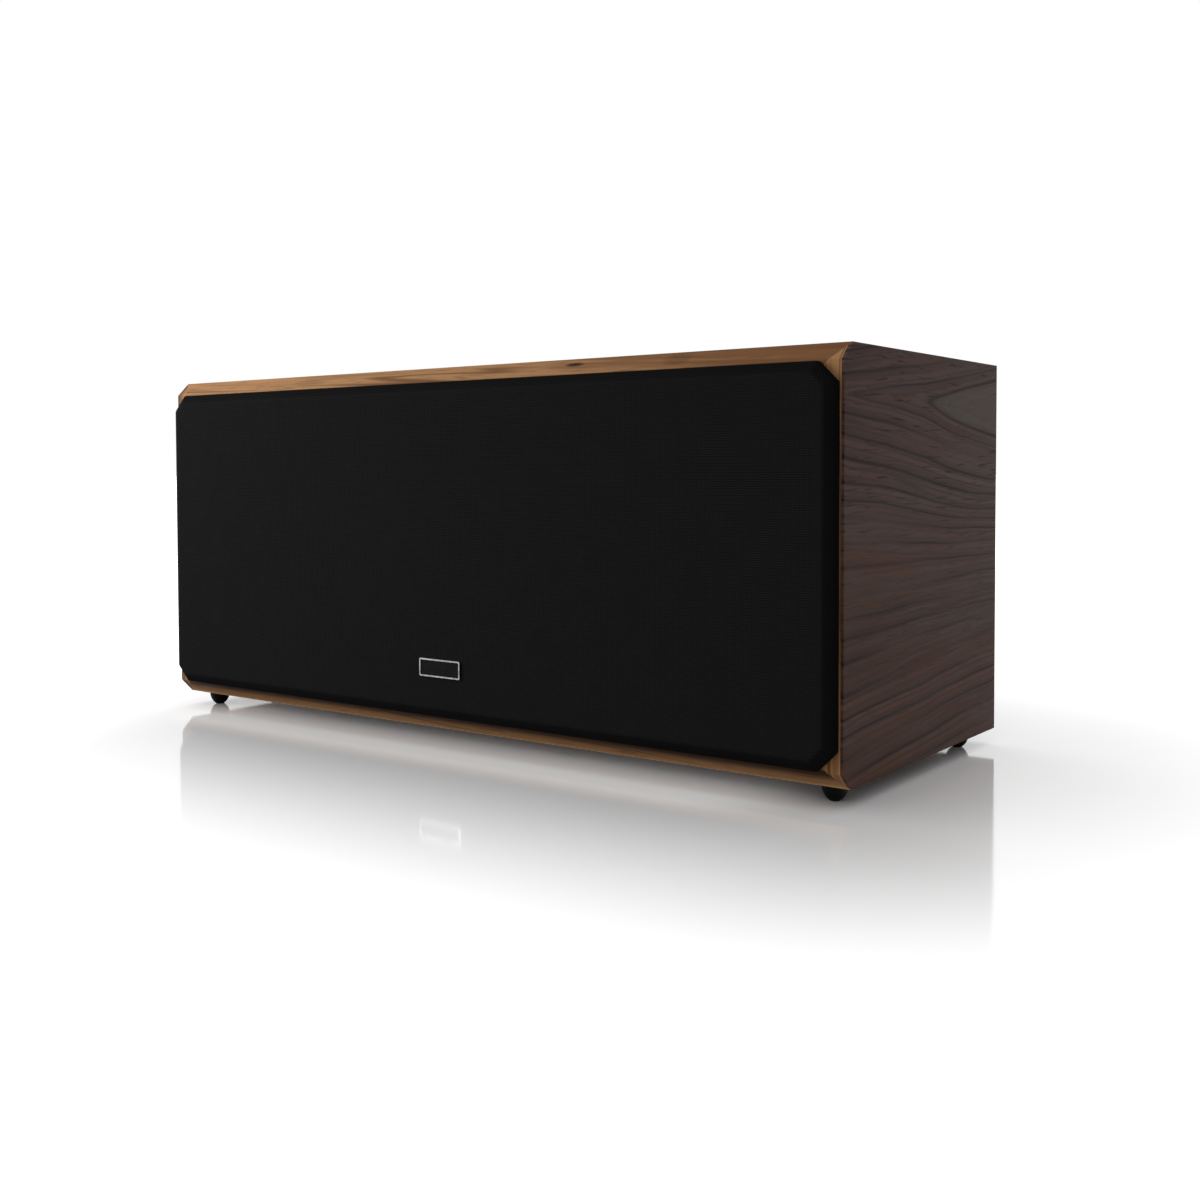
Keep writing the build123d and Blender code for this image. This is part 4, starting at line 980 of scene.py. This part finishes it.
cloth_shape = bmesh.new()
flat_place = cloth_shape.verts.layers.float_vector.new("flat_place")
layers = []
for thickness in (0.0, CLOTH):
    rows = []
    for index, point in enumerate(folded):
        slope = (folded[min(index + 1, len(folded) - 1)] - folded[max(index - 1, 0)]).normalized()
        inner = point + Vector((slope.y, -slope.x)) * thickness
        row = []
        for (place, way), (base, _) in zip(outline(inner.x), outline(folded[-1].x)):
            vertex = cloth_shape.verts.new((place.x, CLOTH_BACK - inner.y, CLOTH_MIDDLE + place.y))
            laid = base + way * (run[-1] - run[index])
            vertex[flat_place] = (laid.x, laid.y, 0.0)
            row.append(vertex)
        rows.append(row)
    layers.append(rows)
for rows, side in zip(layers, (1, -1)):
    for row, following in zip(rows, rows[1:]):
        for index in range(len(row)):
            quad = [row[index], row[index - 1], following[index - 1], following[index]]
            cloth_shape.faces.new(quad[::side])
    cloth_shape.faces.new(rows[-1][::-side])
hem_outer, hem_inner = layers[0][0], layers[1][0]
for index in range(len(hem_outer)):
    cloth_shape.faces.new([hem_outer[index - 1], hem_outer[index], hem_inner[index], hem_inner[index - 1]])
bmesh.ops.recalc_face_normals(cloth_shape, faces=cloth_shape.faces)
cloth_area = sum(face.calc_area() for face in cloth_shape.faces) / 2
grille_sheet = link_mesh("grille_cloth_sheet", cloth_shape)

# %% [markdown]
# The cloth is a fine knit that swallows light: almost no gloss, and threads that show only close up.
# The weave group reads the flat place of each point, so threads turn with the folds. On the bevels the
# cloth is pulled tight and stuck to the black board. There and on the sides it is painted darker than on
# the front: painted shade, as light only grazes these faces.

# %% Give the cloth its finish and fix it to the grille
KNIT_THREADS, LINT_A_METRE = 950, 60
knit_finish, tree, shader = new_finish("grille_knit", gloss=0.01)
laid = add_node(tree, "ShaderNodeAttribute", attribute_name="flat_place").outputs["Vector"]
laid_x, laid_y, _ = split(tree, laid)
knit = place_group(
    tree, weave_group, across=laid_x, up=laid_y, threads=KNIT_THREADS, dark=grey(0.0042), light=grey(0.0158)
)
lint = place_group(tree, speckle_group, place=laid, scale=LINT_A_METRE, dark=grey(0.93), light=grey(1.0))
dusted = tint(tree, 1.0, knit["Color"], lint["Color"], blend="MULTIPLY")
facing_front = size_of(tree, split(tree, rest_place(tree, "Normal"))[1])
# Painted shade: the cloth turns darker where it faces away from the front, on the bevels and sides.
painted_bevel_shade = ease(tree, facing_front, 0.82, 0.99, 0.55, 0.0)
feed(tree, shader["Base Color"], tint(tree, painted_bevel_shade, dusted, grey(0.002)))
feed(tree, shader["Roughness"], ease(tree, knit["Height"], 0.0, 1.0, 0.95, 0.85))
relief(tree, shader, knit["Height"], 1.5e-4, 0.7)
grille_sheet.data.materials.append(knit_finish)
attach(grille_sheet, "grille")
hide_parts("grille_cloth")
dressed.add("grille_cloth")
print("grille cloth rides on the grille")

# %% [markdown]
# ## Rubber rolls and spiders
# Each cone hangs in a rubber half roll at its rim and a corrugated cloth spider at its neck, and the
# tweeter's dome has a small roll of its own. On the real speaker they flex as the cone moves. Each is a
# ring turned from a profile line and its offset. bake_transform() joins a ring to two bodies, and its
# weights are then set by radius: the inner lip goes with the cone, the outer lip stays with the cabinet.

# %% Draw the profiles of rolls and spiders
def half_roll(inner, start, end, outer, lip, steps):
    """Line of a flat lip, a round roll from start to end and another flat lip."""
    middle, radius = (start + end) / 2, (end - start) / 2
    line = [(inner, lip), (inner + 0.3 * (start - inner), lip), (start - 0.12 * radius, lip)]
    for step in range(1, steps):
        angle = math.pi * (1 - step / steps)
        line.append((middle + radius * math.cos(angle), lip + radius * math.sin(angle)))
    return line + [(end + 0.12 * radius, lip), (outer - 0.3 * (outer - end), lip), (outer, lip)]


def corrugated(inner, outer, lip, height, rise, waves, steps):
    """Line of a spider: waves out from the coil, then a flat lip."""
    line = []
    for step in range(steps + 1):
        share = step / steps
        line.append((inner + (outer - inner) * share, height + rise * math.sin(math.pi * waves * share)))
    return line + [(outer + 1.0, height), (lip, height)]


ROLL_START, ROLL_END = 46.5, 56.0
WAVES_START, WAVES_END = 13.2, 36.4
roll_line = half_roll(inner=43.05, start=ROLL_START, end=ROLL_END, outer=59.9, lip=-1.3, steps=22)
spider_line = corrugated(
    inner=WAVES_START, outer=WAVES_END, lip=44.4, height=-28.95, rise=1.0, waves=5, steps=40
)
dome_roll_line = half_roll(inner=12.98, start=13.75, end=16.35, outer=19.45, lip=-4.62, steps=14)
print("profiles of", len(roll_line), len(spider_line), "and", len(dome_roll_line), "points")

# %% Helpers that turn a ring and let it flex
DRIVER_FACE = -90.2 * MM
DRIVER_HEIGHT = 108.8 * MM


def turned_ring(name, x, line, thickness, segments):
    """A ring about the driver's axis from a line of (radius, height) points in mm, thickened backwards."""
    line = [Vector(point) * MM for point in line]
    back = []
    for index, point in enumerate(line):
        slope = (line[min(index + 1, len(line) - 1)] - line[max(index - 1, 0)]).normalized()
        back.append(point + Vector((slope.y, -slope.x)) * thickness * MM)
    loop = line + back[::-1]
    shape = bmesh.new()
    turns = []
    for segment in range(segments):
        angle = 2 * math.pi * segment / segments
        turns.append([
            shape.verts.new(
                (x + r * math.cos(angle), DRIVER_FACE - height, DRIVER_HEIGHT + r * math.sin(angle))
            )
            for r, height in loop
        ])
    for index, here in enumerate(turns):
        before = turns[index - 1]
        for step in range(len(loop)):
            shape.faces.new([before[step - 1], before[step], here[step], here[step - 1]])
    bmesh.ops.recalc_face_normals(shape, faces=shape.faces)
    return link_mesh(name, shape)


def flex(ring, x, moving, inner, outer, node, material):
    """Lets the ring follow the moving body inside the inner radius and the cabinet outside the outer one."""
    ring.data.materials.append(material)
    start = (x + inner * MM, DRIVER_FACE, DRIVER_HEIGHT)
    end = (x + outer * MM, DRIVER_FACE, DRIVER_HEIGHT)
    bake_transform(ring, moving, "cabinet", start=start, end=end)
    weights = ring.data.attributes["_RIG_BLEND"].data
    for vertex in ring.data.vertices:
        radius = math.hypot(vertex.co.x - x, vertex.co.z - DRIVER_HEIGHT) / MM
        share = min(1.0, max(0.0, (radius - inner) / (outer - inner)))
        weights[vertex.index].value = share * share * (3 - 2 * share)
    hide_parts(node)
    dressed.add(node)


print("rings turn about", round(DRIVER_HEIGHT, 4), "m above the floor")

# %% Build the flexing rings
WOOFER_X = 145.0 * MM
rubber = speckled(
    "roll_rubber", grey(0.010), grey(0.016), scale=700, rough=(0.38, 0.5), bump=2e-5, gloss=0.22
)
dome_cloth = speckled("dome_roll_cloth", grey(0.012), grey(0.018), scale=1800, rough=(0.6, 0.75), bump=2e-5)
spider_cloth = woven(
    "spider_weave", 900, (0.28, 0.16, 0.05, 1), (0.48, 0.31, 0.12, 1), depth=1.5e-4, rough=(0.7, 0.9)
)
for side, x in (("left", -WOOFER_X), ("right", WOOFER_X)):
    roll = turned_ring(f"{side}_woofer_roll", x, roll_line, thickness=0.65, segments=144)
    flex(
        roll, x, f"{side}_cone", ROLL_START, ROLL_END,
        node=f"{side}_woofer_surround", material=rubber,
    )
    spider = turned_ring(f"{side}_woofer_spider_cloth", x, spider_line, thickness=0.5, segments=120)
    flex(
        spider, x, f"{side}_cone", WAVES_START, WAVES_END,
        node=f"{side}_woofer_spider", material=spider_cloth,
    )
roll = turned_ring("tweeter_roll", 0.0, dome_roll_line, thickness=0.36, segments=96)
flex(
    roll, 0.0, "dome", inner=13.4, outer=16.2,
    node="tweeter_surround", material=dome_cloth,
)
print("bare nodes:", sorted(set(nodes) - dressed))

# %% [markdown]
# ## The CAD model's box
# The box that the CAD model filled when it was loaded is printed here.

# %% Print the CAD model's box
print("cad box", [[round(v, 4) for v in corner] for corner in cad_box])
